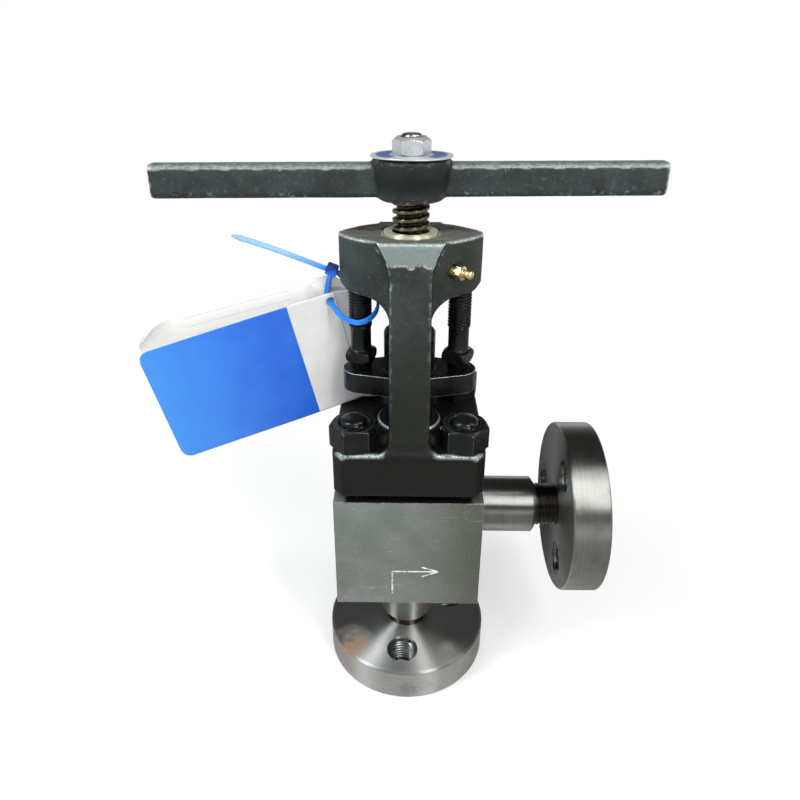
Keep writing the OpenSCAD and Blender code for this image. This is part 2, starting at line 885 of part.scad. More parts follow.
body_block();
inlet_neck();
outlet_neck();
inlet_flange();
outlet_flange();
seat_ring();
valve_disc();
bonnet();
yoke();
yoke_bushing();
gland_sleeve();
gland_plate();
gland_bolt(-1);  // gland_bolt_left
gland_bolt(1);  // gland_bolt_right
base_stud(0);  // base_stud_1
base_stud(1);  // base_stud_2
base_stud(2);  // base_stud_3
base_stud(3);  // base_stud_4
base_nut(0);  // base_nut_1
base_nut(1);  // base_nut_2
base_nut(2);  // base_nut_3
base_nut(3);  // base_nut_4
grease_nipple();
stem();
handle();
top_disc();
stem_nut();
tag_card();
tie_strap();
tie_head();
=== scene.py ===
from itertools import product
from math import cos, pi, radians, sin, tau

import bmesh
import bpy
import numpy as np
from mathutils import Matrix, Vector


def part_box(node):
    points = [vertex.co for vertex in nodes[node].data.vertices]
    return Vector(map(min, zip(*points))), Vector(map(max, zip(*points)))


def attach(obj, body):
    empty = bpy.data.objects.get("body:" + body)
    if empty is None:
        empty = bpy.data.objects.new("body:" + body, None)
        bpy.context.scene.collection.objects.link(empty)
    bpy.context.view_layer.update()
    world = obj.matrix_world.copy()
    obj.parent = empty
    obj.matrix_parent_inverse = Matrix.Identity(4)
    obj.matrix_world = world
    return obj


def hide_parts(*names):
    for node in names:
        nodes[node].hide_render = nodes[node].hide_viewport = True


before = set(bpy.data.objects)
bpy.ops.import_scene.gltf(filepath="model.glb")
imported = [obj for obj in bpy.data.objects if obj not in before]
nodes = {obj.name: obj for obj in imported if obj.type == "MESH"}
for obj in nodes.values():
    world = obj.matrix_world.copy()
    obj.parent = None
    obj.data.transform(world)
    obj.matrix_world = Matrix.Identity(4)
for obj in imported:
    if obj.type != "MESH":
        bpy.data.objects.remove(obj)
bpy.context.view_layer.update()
scene = bpy.context.scene

# ---- Viewpoint ----
# A short lens close to the valve, above it and looking down on the handle, so that the
# flanges and the handle open out towards the edges of the picture.

camera = bpy.data.objects.new("viewpoint", bpy.data.cameras.new("viewpoint"))
scene.collection.objects.link(camera)
scene.camera = camera
camera.location = (-0.0025, -0.3171, 0.3480)
camera.rotation_euler = (radians(65.14), radians(-0.056), radians(0.93))
camera.data.lens = 29.96
camera.data.shift_x = 0.006
camera.data.shift_y = -0.0587
camera.data.clip_start = 0.01
camera.data.clip_end = 20

# ---- Body block ----
# A block of forged carbon steel, ground flat on every side and greyed with thin oil. Its
# edges are broken with a file, and the flow arrow is scribed in its front face.

mm = 0.001
arrow_depth = 0.35
arrow_width = 1.0
arrow_strokes = [
    [(-8.3, 72.6), (-8.3, 80), (-8.3, 88.5)],
    [(-8.3, 88.5), (2, 88.5), (16.8, 88.5)],
    [(7.6, 91.6), (12.2, 90.1), (16.8, 88.5)],
    [(7.6, 85.0), (12.2, 86.8), (16.8, 88.5)],
]
block_edge = 0.45
# In metres, as finishes measure: the block's top and half the width of the joint's oil and painted
# shade
block_top = 0.1340
joint_half = 0.034


def tint(red, green, blue):
    """A colour given as it looks on a screen, from 0 to 255, as the light that a shader uses."""
    part = np.array([red, green, blue]) / 255
    light = np.where(part <= 0.04045, part / 12.92, ((part + 0.055) / 1.055) ** 2.4)
    return (*light.tolist(), 1.0)


def unit(vectors):
    """Each vector divided by its own length."""
    return vectors / np.maximum(np.linalg.norm(vectors, axis=-1, keepdims=True), 1e-12)


def make_mesh(name, points, faces):
    """A mesh object at the origin, from points in millimetres. Points that lie on each
    other are made one, so seams and poles close, and faces without area go."""
    mesh = bpy.data.meshes.new(name)
    mesh.from_pydata((np.asarray(points, float).reshape(-1, 3) * mm).tolist(), [], faces.tolist())
    work = bmesh.new()
    work.from_mesh(mesh)
    bmesh.ops.remove_doubles(work, verts=work.verts, dist=2e-6)
    bmesh.ops.dissolve_degenerate(work, edges=work.edges, dist=1e-7)
    work.to_mesh(mesh)
    work.free()
    mesh.shade_smooth()
    piece = bpy.data.objects.new(name, mesh)
    scene.collection.objects.link(piece)
    return piece


def node_shape(node):
    """Points, in millimetres, and triangles of a node, with the points that lie on each
    other made one."""
    mesh = nodes[node].data
    points = np.empty(3 * len(mesh.vertices))
    mesh.vertices.foreach_get("co", points)
    corners = np.empty(len(mesh.loops), int)
    mesh.loops.foreach_get("vertex_index", corners)
    places, first = np.unique(points.reshape(-1, 3).round(6), axis=0, return_inverse=True)
    faces = first.reshape(-1)[corners].reshape(-1, 3)
    apart = (faces != np.roll(faces, 1, axis=1)).all(axis=1)
    return places / mm, faces[apart]


def node_box(node):
    """A node's lowest and highest corners at rest, in millimetres."""
    return [np.array(corner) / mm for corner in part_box(node)]


def grid_faces(rows, columns, round_rows=False, round_columns=False):
    """The four-cornered faces between a grid's neighbouring points, numbered row by row. A
    round grid also joins its last row or column to its first."""
    number = np.arange(rows * columns).reshape(rows, columns)
    if round_rows:
        number = np.concatenate([number, number[:1]])
    if round_columns:
        number = np.concatenate([number, number[:, :1]], axis=1)
    return np.stack(
        [number[:-1, :-1], number[:-1, 1:], number[1:, 1:], number[1:, :-1]], axis=-1
    ).reshape(-1, 4)


def along(route, step):
    """A smooth line through a route's points, as points about a step apart: a cubic between
    each pair, whose slopes come from the neighbouring points."""
    route = np.asarray(route, float)
    ends = np.concatenate([2 * route[:1] - route[1:2], route, 2 * route[-1:] - route[-2:-1]])
    pieces = []
    for a, b, c, d in zip(ends, ends[1:], ends[2:], ends[3:]):
        count = max(2, round(np.linalg.norm(c - b) / step))
        t = np.linspace(0, 1, count, endpoint=False)[:, None]
        pieces.append(
            b + t * (c - a) / 2 + t**2 * (a - 2.5 * b + 2 * c - d / 2)
            + t**3 * (1.5 * (b - c) + (d - a) / 2)
        )
    return np.concatenate([*pieces, route[-1:]])


def swept(line, face_way, outline):
    """Points of an outline carried along a line. At each point the outline's second
    direction is face_way made square to the line, and its first is square to both. The ends
    close on the line itself."""
    ahead = unit(np.gradient(line, axis=0))
    face = unit(face_way - (face_way * ahead).sum(1, keepdims=True) * ahead)
    side = np.cross(face, ahead)
    rings = line[:, None] + outline[..., :1] * side[:, None] + outline[..., 1:] * face[:, None]
    ends = np.repeat(line[[0, -1], None], rings.shape[1], axis=1)
    return np.concatenate([ends[:1], rings, ends[1:]])


def applied(piece):
    """Makes a piece's modifiers part of its mesh."""
    seen = piece.evaluated_get(bpy.context.evaluated_depsgraph_get())
    mesh = bpy.data.meshes.new_from_object(seen)
    piece.modifiers.clear()
    piece.data = mesh


def ease_edges(piece, width, segments=2):
    """Rounds a piece's sharp edges to a width in millimetres, after its flat faces have been
    made whole."""
    work = bmesh.new()
    work.from_mesh(piece.data)
    bmesh.ops.dissolve_limit(
        work, angle_limit=radians(0.6), verts=work.verts, edges=work.edges
    )
    work.to_mesh(piece.data)
    work.free()
    piece.data.shade_smooth()
    bevel = piece.modifiers.new("eased", "BEVEL")
    bevel.width = width * mm
    bevel.segments = segments
    bevel.limit_method = "ANGLE"
    bevel.angle_limit = radians(32)
    bevel.harden_normals = True
    bevel.miter_outer = "MITER_ARC"
    return bevel


def fit(piece, node, material, body="root"):
    """Puts a piece in a node's place: it takes the finish, rides on the body, and stands for
    the node."""
    if not piece.data.materials:
        piece.data.materials.append(material)
    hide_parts(node)
    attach(piece, body)


def new_finish(name, metallic, roughness, **shader):
    """A finish whose shader has these even values."""
    material = bpy.data.materials.new(name)
    material.use_nodes = True
    bsdf = material.node_tree.nodes["Principled BSDF"]
    bsdf.inputs["Metallic"].default_value = metallic
    bsdf.inputs["Roughness"].default_value = roughness
    for key, value in shader.items():
        bsdf.inputs[key.replace("_", " ")].default_value = value
    return material


def add(material, kind, options=None, **inputs):
    """Adds a node to a finish. Each input is a number, a colour or another node's output."""
    made = material.node_tree.nodes.new("ShaderNode" + kind)
    for key, value in (options or {}).items():
        setattr(made, key, value)
    for key, value in inputs.items():
        socket = made.inputs[int(key[1:]) if key[1:].isdigit() else key.replace("_", " ")]
        if isinstance(value, bpy.types.NodeSocket):
            material.node_tree.links.new(value, socket)
        else:
            socket.default_value = value
    return made


def feed(material, **inputs):
    """Links node outputs to the shader's own inputs."""
    bsdf = material.node_tree.nodes["Principled BSDF"]
    for key, value in inputs.items():
        material.node_tree.links.new(value, bsdf.inputs[key.replace("_", " ")])


def place(material):
    """Where a point is on the valve, in metres."""
    return add(material, "TexCoord").outputs["Object"]


def stretch(material, vector, x, y, z):
    """The place with each direction scaled, so that a pattern draws out along the smallest."""
    return add(material, "Mapping", Vector=vector, Scale=(x, y, z)).outputs[0]


def cloud(material, vector, scale, detail=4, rough=0.6, twist=0.0):
    """Soft random patches from 0 to 1, about one over scale across."""
    return add(
        material, "TexNoise", Vector=vector, Scale=scale, Detail=detail, Roughness=rough,
        Distortion=twist,
    ).outputs["Fac"]


def calc(material, operation, a, b=0.0):
    """One sum on two values."""
    return add(material, "Math", {"operation": operation}, i0=a, i1=b).outputs[0]


def product_of(material, first, *others):
    """All the values multiplied."""
    for other in others:
        first = calc(material, "MULTIPLY", first, other)
    return first


def between(material, value, low, high, start=0.0, end=1.0):
    """start where the value is under low, end where it is over high, and even between."""
    return add(
        material, "MapRange", Value=value, From_Min=low, From_Max=high, To_Min=start, To_Max=end
    ).outputs[0]


def mix(material, share, first, second):
    """The first colour where the share is 0, the second where it is 1."""
    return add(
        material, "Mix", {"data_type": "RGBA"}, i0=share, i6=first, i7=second
    ).outputs[2]


def layered(material, shade, *layers):
    """A colour with others laid over it in turn, each given as its share and its tone."""
    for share, tone in layers:
        shade = mix(material, share, shade, tone)
    return shade


def relief(material, height, depth, under=None):
    """A surface direction that follows a height, of a depth in millimetres."""
    inputs = {"Height": height, "Distance": depth * mm, "Strength": 1.0}
    if under:
        inputs["Normal"] = under
    return add(material, "Bump", **inputs).outputs[0]


ground_steel = new_finish("ground steel", 0.5, 0.46)
spot = place(ground_steel)
broad = cloud(ground_steel, spot, 55, 3)
rub = cloud(ground_steel, stretch(ground_steel, spot, 120, 300, 1500), 1, 5, 0.7)
fine = cloud(ground_steel, stretch(ground_steel, spot, 900, 900, 350), 3, 3, 0.7)
nicks = cloud(ground_steel, stretch(ground_steel, spot, 60, 500, 900), 1, 2, 0.4, 1.2)
parts = add(ground_steel, "SeparateXYZ", Vector=spot)
# The block's right part is painted darker, as painted shade cast by the outlet neck and its flange.
right = between(ground_steel, parts.outputs["X"], 0.004, 0.034, 0, 0.85)
speck = cloud(ground_steel, spot, 1500, 2, 0.6)
# Under the joint, where the bonnet's flange stands on it, the top is painted black: oil, and
# painted shade in the gap under the yoke's base.
away = calc(ground_steel, "ABSOLUTE", parts.outputs["X"])
oil_and_shade_in_joint = product_of(
    ground_steel,
    between(ground_steel, parts.outputs["Z"], block_top - 0.0004, block_top - 0.0001),
    between(ground_steel, away, joint_half, joint_half - 0.002),
)
feed(
    ground_steel,
    Base_Color=layered(
        ground_steel, tint(112, 120, 112),
        (between(ground_steel, broad, 0.35, 0.68), tint(130, 137, 129)),
        (right, tint(78, 80, 70)),
        (between(ground_steel, fine, 0.42, 0.75, 0, 0.7), tint(100, 106, 98)),
        (between(ground_steel, nicks, 0.69, 0.75, 0, 0.6), tint(166, 172, 162)),
        (between(ground_steel, speck, 0.6, 0.74, 0, 0.3), tint(172, 176, 166)),
        (oil_and_shade_in_joint, tint(16, 17, 15)),
    ),
    Roughness=between(ground_steel, rub, 0.3, 0.7, 0.4, 0.56),
    Normal=relief(ground_steel, fine, 0.04, relief(ground_steel, rub, 0.03)),
)
filed_steel = new_finish("filed steel edge", 0.3, 0.35)
burr = cloud(filed_steel, place(filed_steel), 420, 4, 0.7)
feed(
    filed_steel,
    Base_Color=mix(
        filed_steel, between(filed_steel, burr, 0.4, 0.56), tint(132, 138, 130), tint(226, 229, 220)
    ),
    Normal=relief(filed_steel, burr, 0.1),
)

body = make_mesh("ground_block", *node_shape("body_block"))
body.data.materials.append(ground_steel)
body.data.materials.append(filed_steel)
eased = ease_edges(body, block_edge)
eased.material = 1
eased.harden_normals = False
applied(body)
front = node_box("body_block")[0][1]
ring = np.linspace(0, tau, 10, endpoint=False)
stroke_outline = np.stack([np.cos(ring), np.sin(ring)], -1) * arrow_width / 2
for stroke in arrow_strokes:
    route = [(x, front - arrow_width / 2 + arrow_depth, z) for x, z in stroke]
    line = along(route, 1.0)
    rings = swept(line, np.tile([0.0, 1.0, 0.0], (len(line), 1)), stroke_outline)
    burr = make_mesh("scriber", rings, grid_faces(*rings.shape[:2], round_columns=True))
    burr.data.materials.append(filed_steel)
    cut = body.modifiers.new("scribed", "BOOLEAN")
    cut.material_mode = "TRANSFER"
    cut.operation = "DIFFERENCE"
    cut.solver = "EXACT"
    cut.object = burr
    applied(body)
    bpy.data.objects.remove(burr)
body.data.shade_smooth()
body.data.set_sharp_from_angle(angle=radians(28))
fit(body, "body_block", ground_steel)

# ---- Necks ----
# Turned carbon steel, one under the block and one on its right side, welded into it. Each is
# chamfered down to a threaded end, which the flange is screwed on.

neck_pitch = 2.0
neck_thread_depth = 0.95
neck_bore_r = 7.5
neck_r = 15.75
neck_l = 66


def turned(
    rows, corners=0, across=0.0, turn=0.0, steps=96, threads=(), hollow=False, cut=(0, 99)
):
    """Points of a piece turned round the Z axis, from rows of radius and height, in
    millimetres. Where corners is set, the radius is also held to that many flat sides: half
    their distance apart over the cosine of the angle from a side's middle, with the two
    limits eased into each other. Each thread, given as its start, end, pitch, depth and
    share of flat crest, takes a wave off radii between the two of cut: it climbs one pitch a
    turn and fades out over its last turns. A hollow piece's rows run round its wall."""
    rows = np.asarray(rows, float)
    for start, end, pitch, *_ in threads:
        fine = []
        for (r0, z0), (r1, z1) in zip(rows, rows[1:]):
            inside = min(z0, z1) < end and max(z0, z1) > start and abs(z1 - z0) > pitch
            count = max(1, int(abs(z1 - z0) / pitch * 10)) if inside else 1
            t = np.linspace(0, 1, count, endpoint=False)[:, None]
            fine.append((1 - t) * [r0, z0] + t * [r1, z1])
        rows = np.concatenate([*fine, rows[-1:]])
    angle = radians(turn) + np.linspace(0, tau, steps, endpoint=False)
    radius = np.repeat(rows[:, :1], steps, axis=1)
    height = np.repeat(rows[:, 1:2], steps, axis=1)
    if corners:
        off = np.mod(angle - radians(turn), tau / corners) - pi / corners
        side = across / 2 / np.cos(off)
        held = (np.maximum(radius, 1e-6) ** -60 + side**-60.0) ** (-1 / 60)
        radius = np.where(radius > 1e-6, held, 0)
    for start, end, pitch, depth, crest in threads:
        climb = np.mod(height / pitch - angle / tau, 1)
        wave = np.clip((np.abs(2 * climb - 1) - crest) / (1 - crest) * 1.6, 0, 1)
        wave = wave * wave * (3 - 2 * wave)
        fade = np.clip((height - start) / pitch, 0, 1) * np.clip((end - height) / pitch, 0, 1)
        radius = radius - depth * wave * fade * (radius > cut[0]) * (radius < cut[1])
    points = np.stack([radius * np.cos(angle), radius * np.sin(angle), height], axis=-1)
    return points, grid_faces(*points.shape[:2], round_rows=hollow, round_columns=True)


def set_at(points, origin, x_way, z_way):
    """Points moved from the Z axis to an origin, with their X and Z along these ways."""
    z_way = unit(np.asarray(z_way, float))
    x_way = unit(np.asarray(x_way, float) - np.dot(x_way, z_way) * z_way)
    turn = np.stack([x_way, np.cross(z_way, x_way), z_way])
    return points @ turn + np.asarray(origin, float)


def lathe_marks(material, axis, origin):
    """The distance from an axis and the place along it, in millimetres, for marks that a
    lathe leaves, and the way round the axis."""
    spot = add(material, "VectorMath", {"operation": "SUBTRACT"}, i0=place(material), i1=origin)
    flat = tuple(0.0 if way else 1.0 for way in axis)
    arm = add(material, "VectorMath", {"operation": "MULTIPLY"}, i0=spot.outputs[0], i1=flat)
    reach = add(material, "VectorMath", {"operation": "LENGTH"}, i0=arm.outputs[0])
    height = add(
        material, "VectorMath", {"operation": "DOT_PRODUCT"}, i0=spot.outputs[0], i1=axis
    )
    round_way = add(
        material, "VectorMath", {"operation": "CROSS_PRODUCT"}, i0=axis, i1=arm.outputs[0]
    )
    round_way = add(material, "VectorMath", {"operation": "NORMALIZE"}, i0=round_way.outputs[0])
    marks = add(
        material, "CombineXYZ",
        X=calc(material, "MULTIPLY", reach.outputs["Value"], 1 / mm),
        Y=calc(material, "MULTIPLY", height.outputs["Value"], 1 / mm),
    ).outputs[0]
    return marks, round_way.outputs[0]


def lathe_steel(name, axis, origin, colours, roughness=0.3, stain=None):
    """Turned steel: fine grooves round an axis, whose gloss draws out across them, with
    darker bands and faint stains."""
    material = new_finish(name, 1.0, roughness, Anisotropic=0.95, Anisotropic_Rotation=0.25)
    marks, round_way = lathe_marks(material, axis, origin)
    bands = cloud(material, marks, 0.9, 6, 0.75)
    feed_marks = cloud(material, marks, 4.5, 2, 0.5)
    patches = cloud(material, place(material), 70, 4, 0.65)
    dust = cloud(material, place(material), 900, 2, 0.5)
    dark, light, stained = colours
    shade = layered(
        material, dark, (between(material, bands, 0.35, 0.7), light),
        (between(material, patches, 0.5, 0.78, 0, 0.6), stained),
        (between(material, dust, 0.68, 0.78, 0, 0.5), stained),
    )
    if stain:
        shade = stain(material, shade, patches, marks)
    feed(
        material,
        Base_Color=shade,
        Roughness=between(material, bands, 0.3, 0.7, roughness - 0.07, roughness + 0.1),
        Normal=relief(material, feed_marks, 0.03, relief(material, bands, 0.03)),
        Tangent=round_way,
    )
    return material


bright_steel = (tint(150, 150, 146), tint(180, 180, 176), tint(108, 106, 97))
# Each neck's free end, the way across and along it, and how far its thread runs
neck_places = {
    "inlet_neck": ((0, 0, 0), (1, 0, 0), (0, 0, 1), 25.5),
    "outlet_neck": ((105, 0, 105), (0, 0, 1), (-1, 0, 0), 32),
}


def line_of(neck):
    """The way along a neck and its free end, in metres."""
    origin, _, z_way, _ = neck_places[neck]
    return tuple(map(float, z_way)), tuple(v * mm for v in origin)


def browned(material, shade, patches, marks):
    """Old oil that browned a neck's thread."""
    reach = add(material, "SeparateXYZ", Vector=marks).outputs["X"]
    brown = between(material, reach, 12.6, 12.0, 0, 0.9)
    return mix(material, brown, shade, tint(60, 49, 42))


for name, (origin, x_way, z_way, end) in neck_places.items():
    rows = [
        (neck_bore_r, 3.5), (9.5, 1.5), (10.9, 1.5), (11.85, 2.5), (11.85, end - 1.4),
        (11.1, end - 1.2), (11.1, end - 0.3), (12.3, end + 0.05), (15.45, end + 2.2),
        (neck_r, end + 2.7), (neck_r, neck_l), (neck_bore_r, neck_l),
    ]
    threads = [(1.5, end - 1.6, neck_pitch, neck_thread_depth, 0.15)]
    points, faces = turned(rows, threads=threads, hollow=True, cut=(8, 12.5))
    piece = make_mesh("turned_" + name, set_at(points, origin, x_way, z_way), faces)
    piece.data.set_sharp_from_angle(angle=radians(30))
    steel = lathe_steel(
        "turned steel " + name.replace("_", " "), *line_of(name), bright_steel, 0.38, browned
    )
    fit(piece, name, steel)

# ---- Flanges ----
# Round carbon steel flanges, faced and turned on a lathe and screwed on the necks. Each has
# three tapped holes, and fingers have left a little rust on the lower one.

flange_edge = 0.4
hole_ring = 30.0
drill_reach = 9.6
hole_turns = {"inlet_flange": -95, "outlet_flange": -25}
flange_t = 20
tap_pitch = 2.0
tap_depth = 0.66
# Each rust patch: its middle, how far it reaches, and how strong it is
rust_patches = (((-33, -26, flange_t), 15, 0.9), ((25, -31, flange_t), 8, 0.6))
# A tapped hole's wall: it starts and ends at the edges that the drill broke
tap_in = 0.7
tap_out = flange_t - tap_in
tap_rows = [
    (9.03, tap_in), (8.95, tap_in), (8.3, 2 * tap_in), (8.3, flange_t - 2 * tap_in),
    (8.95, tap_out), (9.03, tap_out),
]


def rust(material, shade, patches, marks):
    """The lower flange's top face, painted brighter than its rim as a painted sheen, with thin
    brown rust on two patches.
    """
    height = add(material, "SeparateXYZ", Vector=marks).outputs["Y"]
    # The top face is painted lighter than the rim, a painted highlight that strengthens its gloss.
    painted_face_sheen = between(material, height, flange_t - 0.2, flange_t - 0.05, 0, 0.7)
    shade = mix(material, painted_face_sheen, shade, tint(226, 228, 227))
    dull = None
    for middle, reach, share in rust_patches:
        far = add(
            material, "VectorMath", {"operation": "DISTANCE"},
            i0=place(material), i1=tuple(v * mm for v in middle),
        ).outputs["Value"]
        near = between(material, far, reach * mm, reach * mm * 0.3, 0, share)
        spread = calc(material, "MULTIPLY", near, between(material, patches, 0.35, 0.6))
        shade = mix(material, spread, shade, tint(176, 134, 104))
        dull = calc(material, "MAXIMUM", dull, spread) if dull else spread
    feed(material, Metallic=between(material, dull, 0, 1, 1.0, 0.35))
    return shade


def oil_film(material, shade, patches, marks):
    """Dark oil on the side flange's face towards the body."""
    height = add(material, "SeparateXYZ", Vector=marks).outputs["Y"]
    film = between(material, height, flange_t - 0.4, flange_t - 0.1, 0, 0.75)
    return mix(material, film, shade, tint(84, 88, 82))


drilled_steel = new_finish("drilled steel", 1.0, 0.3)
spot = stretch(drilled_steel, place(drilled_steel), 260, 260, 900)
spiral = cloud(drilled_steel, spot, 1, 4, 0.7, 0.8)
feed(
    drilled_steel,
    Base_Color=mix(
        drilled_steel, between(drilled_steel, spiral, 0.35, 0.68), tint(84, 88, 86),
        tint(156, 160, 156),
    ),
    Normal=relief(drilled_steel, spiral, 0.1),
)

for name, neck, film in (
    ("inlet_flange", "inlet_neck", rust), ("outlet_flange", "outlet_neck", oil_film)
):
    origin, x_way, z_way, _ = neck_places[neck]
    piece = make_mesh("turned_" + name, *node_shape(name))
    ease_edges(piece, flange_edge)
    applied(piece)
    steel = lathe_steel(
        "faced steel " + name.replace("_", " "), *line_of(neck), bright_steel, 0.42, film
    )
    piece.data.materials.clear()
    piece.data.materials.append(steel)
    piece.data.materials.append(drilled_steel)
    middles = np.empty(3 * len(piece.data.polygons))
    ways = np.empty_like(middles)
    piece.data.polygons.foreach_get("center", middles)
    piece.data.polygons.foreach_get("normal", ways)
    flat = middles.reshape(-1, 3) / mm - origin
    flat = flat - (flat @ np.asarray(z_way, float))[:, None] * z_way
    sideways = np.abs(ways.reshape(-1, 3) @ np.asarray(z_way, float)) < 0.4
    drilled = sideways & (np.abs(np.linalg.norm(flat, axis=1) - hole_ring) < drill_reach)
    piece.data.polygons.foreach_set("material_index", drilled.astype(np.int32))
    work = bmesh.new()
    work.from_mesh(piece.data)
    for turn in (0, 120, 240):
        points, faces = turned(
            tap_rows, threads=[(tap_in, tap_out, tap_pitch, -tap_depth, 0.1)], steps=72,
            hollow=True, cut=(0, 8.6),
        )
        angle = radians(hole_turns[name] + turn)
        points = points + [hole_ring * cos(angle), hole_ring * sin(angle), 0]
        thread = make_mesh("tap", set_at(points, origin, x_way, z_way), faces)
        thread.data.polygons.foreach_set("material_index", np.ones(len(faces), np.int32))
        work.from_mesh(thread.data)
        bpy.data.objects.remove(thread)
    work.to_mesh(piece.data)
    work.free()
    fit(piece, name, steel)

# ---- Seat and disc ----
# Inside the body, a hard-faced ring pressed over the inlet bore and the turned disc that the
# stem presses on it. Only their fine turned faces show, up the bore.

# The way of the stem, and a point on it
stem_line = ((0.0, 0.0, 1.0), (0.0, 0.0, 0.0))
seat_steel = lathe_steel("seat steel", *stem_line, bright_steel, 0.2)
for name in ("seat_ring", "valve_disc"):
    nodes[name].data.materials.clear()
    nodes[name].data.materials.append(seat_steel)

# ---- Bonnet ----
# A turned steel plug that closes the body: a thin flange shows as the dark joint over the
# block, and the boss stands through the yoke's base with its rim chamfered bright.

boss_top = 162.0
boss_rim_r = 16.1
bonnet_steel = new_finish("bonnet steel", 0.9, 0.4)
marks, _ = lathe_marks(bonnet_steel, *stem_line)
bands = cloud(bonnet_steel, marks, 1.4, 5, 0.7)
spot = add(bonnet_steel, "SeparateXYZ", Vector=marks)
high = between(bonnet_steel, spot.outputs["Y"], boss_top - 0.4, boss_top)
rim = between(bonnet_steel, spot.outputs["X"], boss_rim_r, boss_rim_r + 0.4)
shade = layered(
    bonnet_steel, tint(40, 50, 50), (between(bonnet_steel, bands, 0.35, 0.7), tint(64, 78, 78)),
    (calc(bonnet_steel, "MULTIPLY", rim, high), tint(190, 196, 192)),
)
feed(bonnet_steel, Base_Color=shade, Normal=relief(bonnet_steel, bands, 0.05))
bonnet = make_mesh("turned_bonnet", *node_shape("bonnet"))
ease_edges(bonnet, 0.3)
fit(bonnet, "bonnet", bonnet_steel)

# ---- Yoke ----
# One forging in carbon steel: square base, two leaning arms, arches and a pointed block. It is left
# as forged under dark oil, with rounded edges that rubbed bright, front rims painted lighter still
# as painted highlight, and its top ground.

yoke_top = 0.2660
yoke_grain = 0.95
yoke_rounds = 5
forge_lumps = ((16.0, 0.14), (5.0, 0.09), (1.8, 0.05))
# The hammered facet on the block's front and back points: where its flare starts, how far up
# that runs, its half width there and what it gains, and its ragged lower end
facet_foot, facet_tall = 244.5, 21.5
facet_narrow, facet_flare = 10.4, 7.6
facet_low = 254.8


def lumps(points, size, seed):
    """A smooth random height from -1 to 1 at each point: random values on a lattice with
    cells of that size, blended between a cell's eight corners by cubic easing."""
    table = np.random.default_rng(seed).uniform(-1, 1, (32, 32, 32))
    cell = np.floor(points / size).astype(int)
    part = points / size - cell
    part = part * part * (3 - 2 * part)
    height = 0
    for corner in product((0, 1), repeat=3):
        share = np.where(corner, part, 1 - part).prod(axis=1)
        height = height + share * table[tuple((np.add(cell, corner) % 32).T)]
    return height


def relaxed(points, edges, rounds, pull):
    """Each point moved part of the way to the middle of its neighbours, over and over."""
    count = np.bincount(edges.ravel(), minlength=len(points))[:, None]
    for _ in range(rounds):
        total = np.stack([
            np.bincount(edges[:, 0], points[edges[:, 1], i], len(points))
            + np.bincount(edges[:, 1], points[edges[:, 0], i], len(points))
            for i in range(3)
        ], axis=-1)
        points = points + pull * (total / count - points)
    return points


def points_of(piece):
    """A piece's points, in millimetres."""
    points = np.empty(3 * len(piece.data.vertices))
    piece.data.vertices.foreach_get("co", points)
    return points.reshape(-1, 3) / mm


def edges_of(piece):
    """The pairs of points that a piece's edges join."""
    edges = np.empty(2 * len(piece.data.edges), int)
    piece.data.edges.foreach_get("vertices", edges)
    return edges.reshape(-1, 2)


def store(piece, name, values):
    """Keeps a value with each of a piece's points, for its finish to read."""
    piece.data.attributes.new(name, "FLOAT", "POINT").data.foreach_set("value", values)


def mark(piece, name, inside):
    """Stores 1 at the points inside an area and 0 at the others, with a softened border."""
    even = np.repeat(inside[:, None] * 1.0, 3, axis=1)
    store(piece, name, relaxed(even, edges_of(piece), 2, 0.6)[:, 0])


def forged(name, node, grain, rounds, seed):
    """A forging made over a node's shape: even small faces, edges and corners relaxed round,
    and the skin sunk by random lumps. Each point's wear is how far it stands out of the
    smoothed shape round it."""
    piece = make_mesh(name, *node_shape(node))
    even = piece.modifiers.new("even", "REMESH")
    even.mode = "VOXEL"
    even.voxel_size = grain * mm
    even.use_smooth_shade = True
    applied(piece)
    mesh = piece.data
    edges = edges_of(piece)
    soft = relaxed(points_of(piece), edges, rounds, 0.6)
    mesh.vertices.foreach_set("co", (soft * mm).ravel())
    mesh.update()
    ways = np.empty(3 * len(soft))
    mesh.vertex_normals.foreach_get("vector", ways)
    ways = ways.reshape(-1, 3)
    stand = ((soft - relaxed(soft, edges, 8, 0.7)) * ways).sum(axis=1)
    sink = sum(
        deep * (lumps(soft, size, seed + i) * 0.5 + 0.5)
        for i, (size, deep) in enumerate(forge_lumps)
    )
    mesh.vertices.foreach_set("co", ((soft - sink[:, None] * ways) * mm).ravel())
    store(piece, "wear", stand)
    return piece, soft, ways


def read(material, attribute):
    """A value stored with a piece's points."""
    return add(material, "Attribute", {"attribute_name": attribute}).outputs["Fac"]


def forged_iron(name, dark, light, worn, wear_from, wear_to):
    """Forged iron under oil: blotches of two tones, a fine scale that catches the light,
    and the worn tone on the edges that stand out."""
    material = new_finish(name, 0.5, 0.45, Specular_IOR_Level=0.6)
    spot = place(material)
    blotch = cloud(material, spot, 45, 5, 0.62, 0.4)
    scale = cloud(material, spot, 520, 5, 0.7)
    pits = cloud(material, spot, 1300, 2, 0.5)
    gaps = cloud(material, spot, 210, 3, 0.7)
    rub = calc(
        material, "ADD", read(material, "wear"), between(material, scale, 0.3, 0.7, -0.08, 0.08)
    )
    rub = calc(material, "ADD", rub, between(material, gaps, 0.38, 0.62, -0.22, 0.05))
    shade = layered(
        material, dark, (between(material, blotch, 0.34, 0.68), light),
        (between(material, scale, 0.58, 0.84, 0, 0.4), worn),
        (between(material, rub, wear_from, wear_to), worn),
    )
    return material, shade, scale, pits


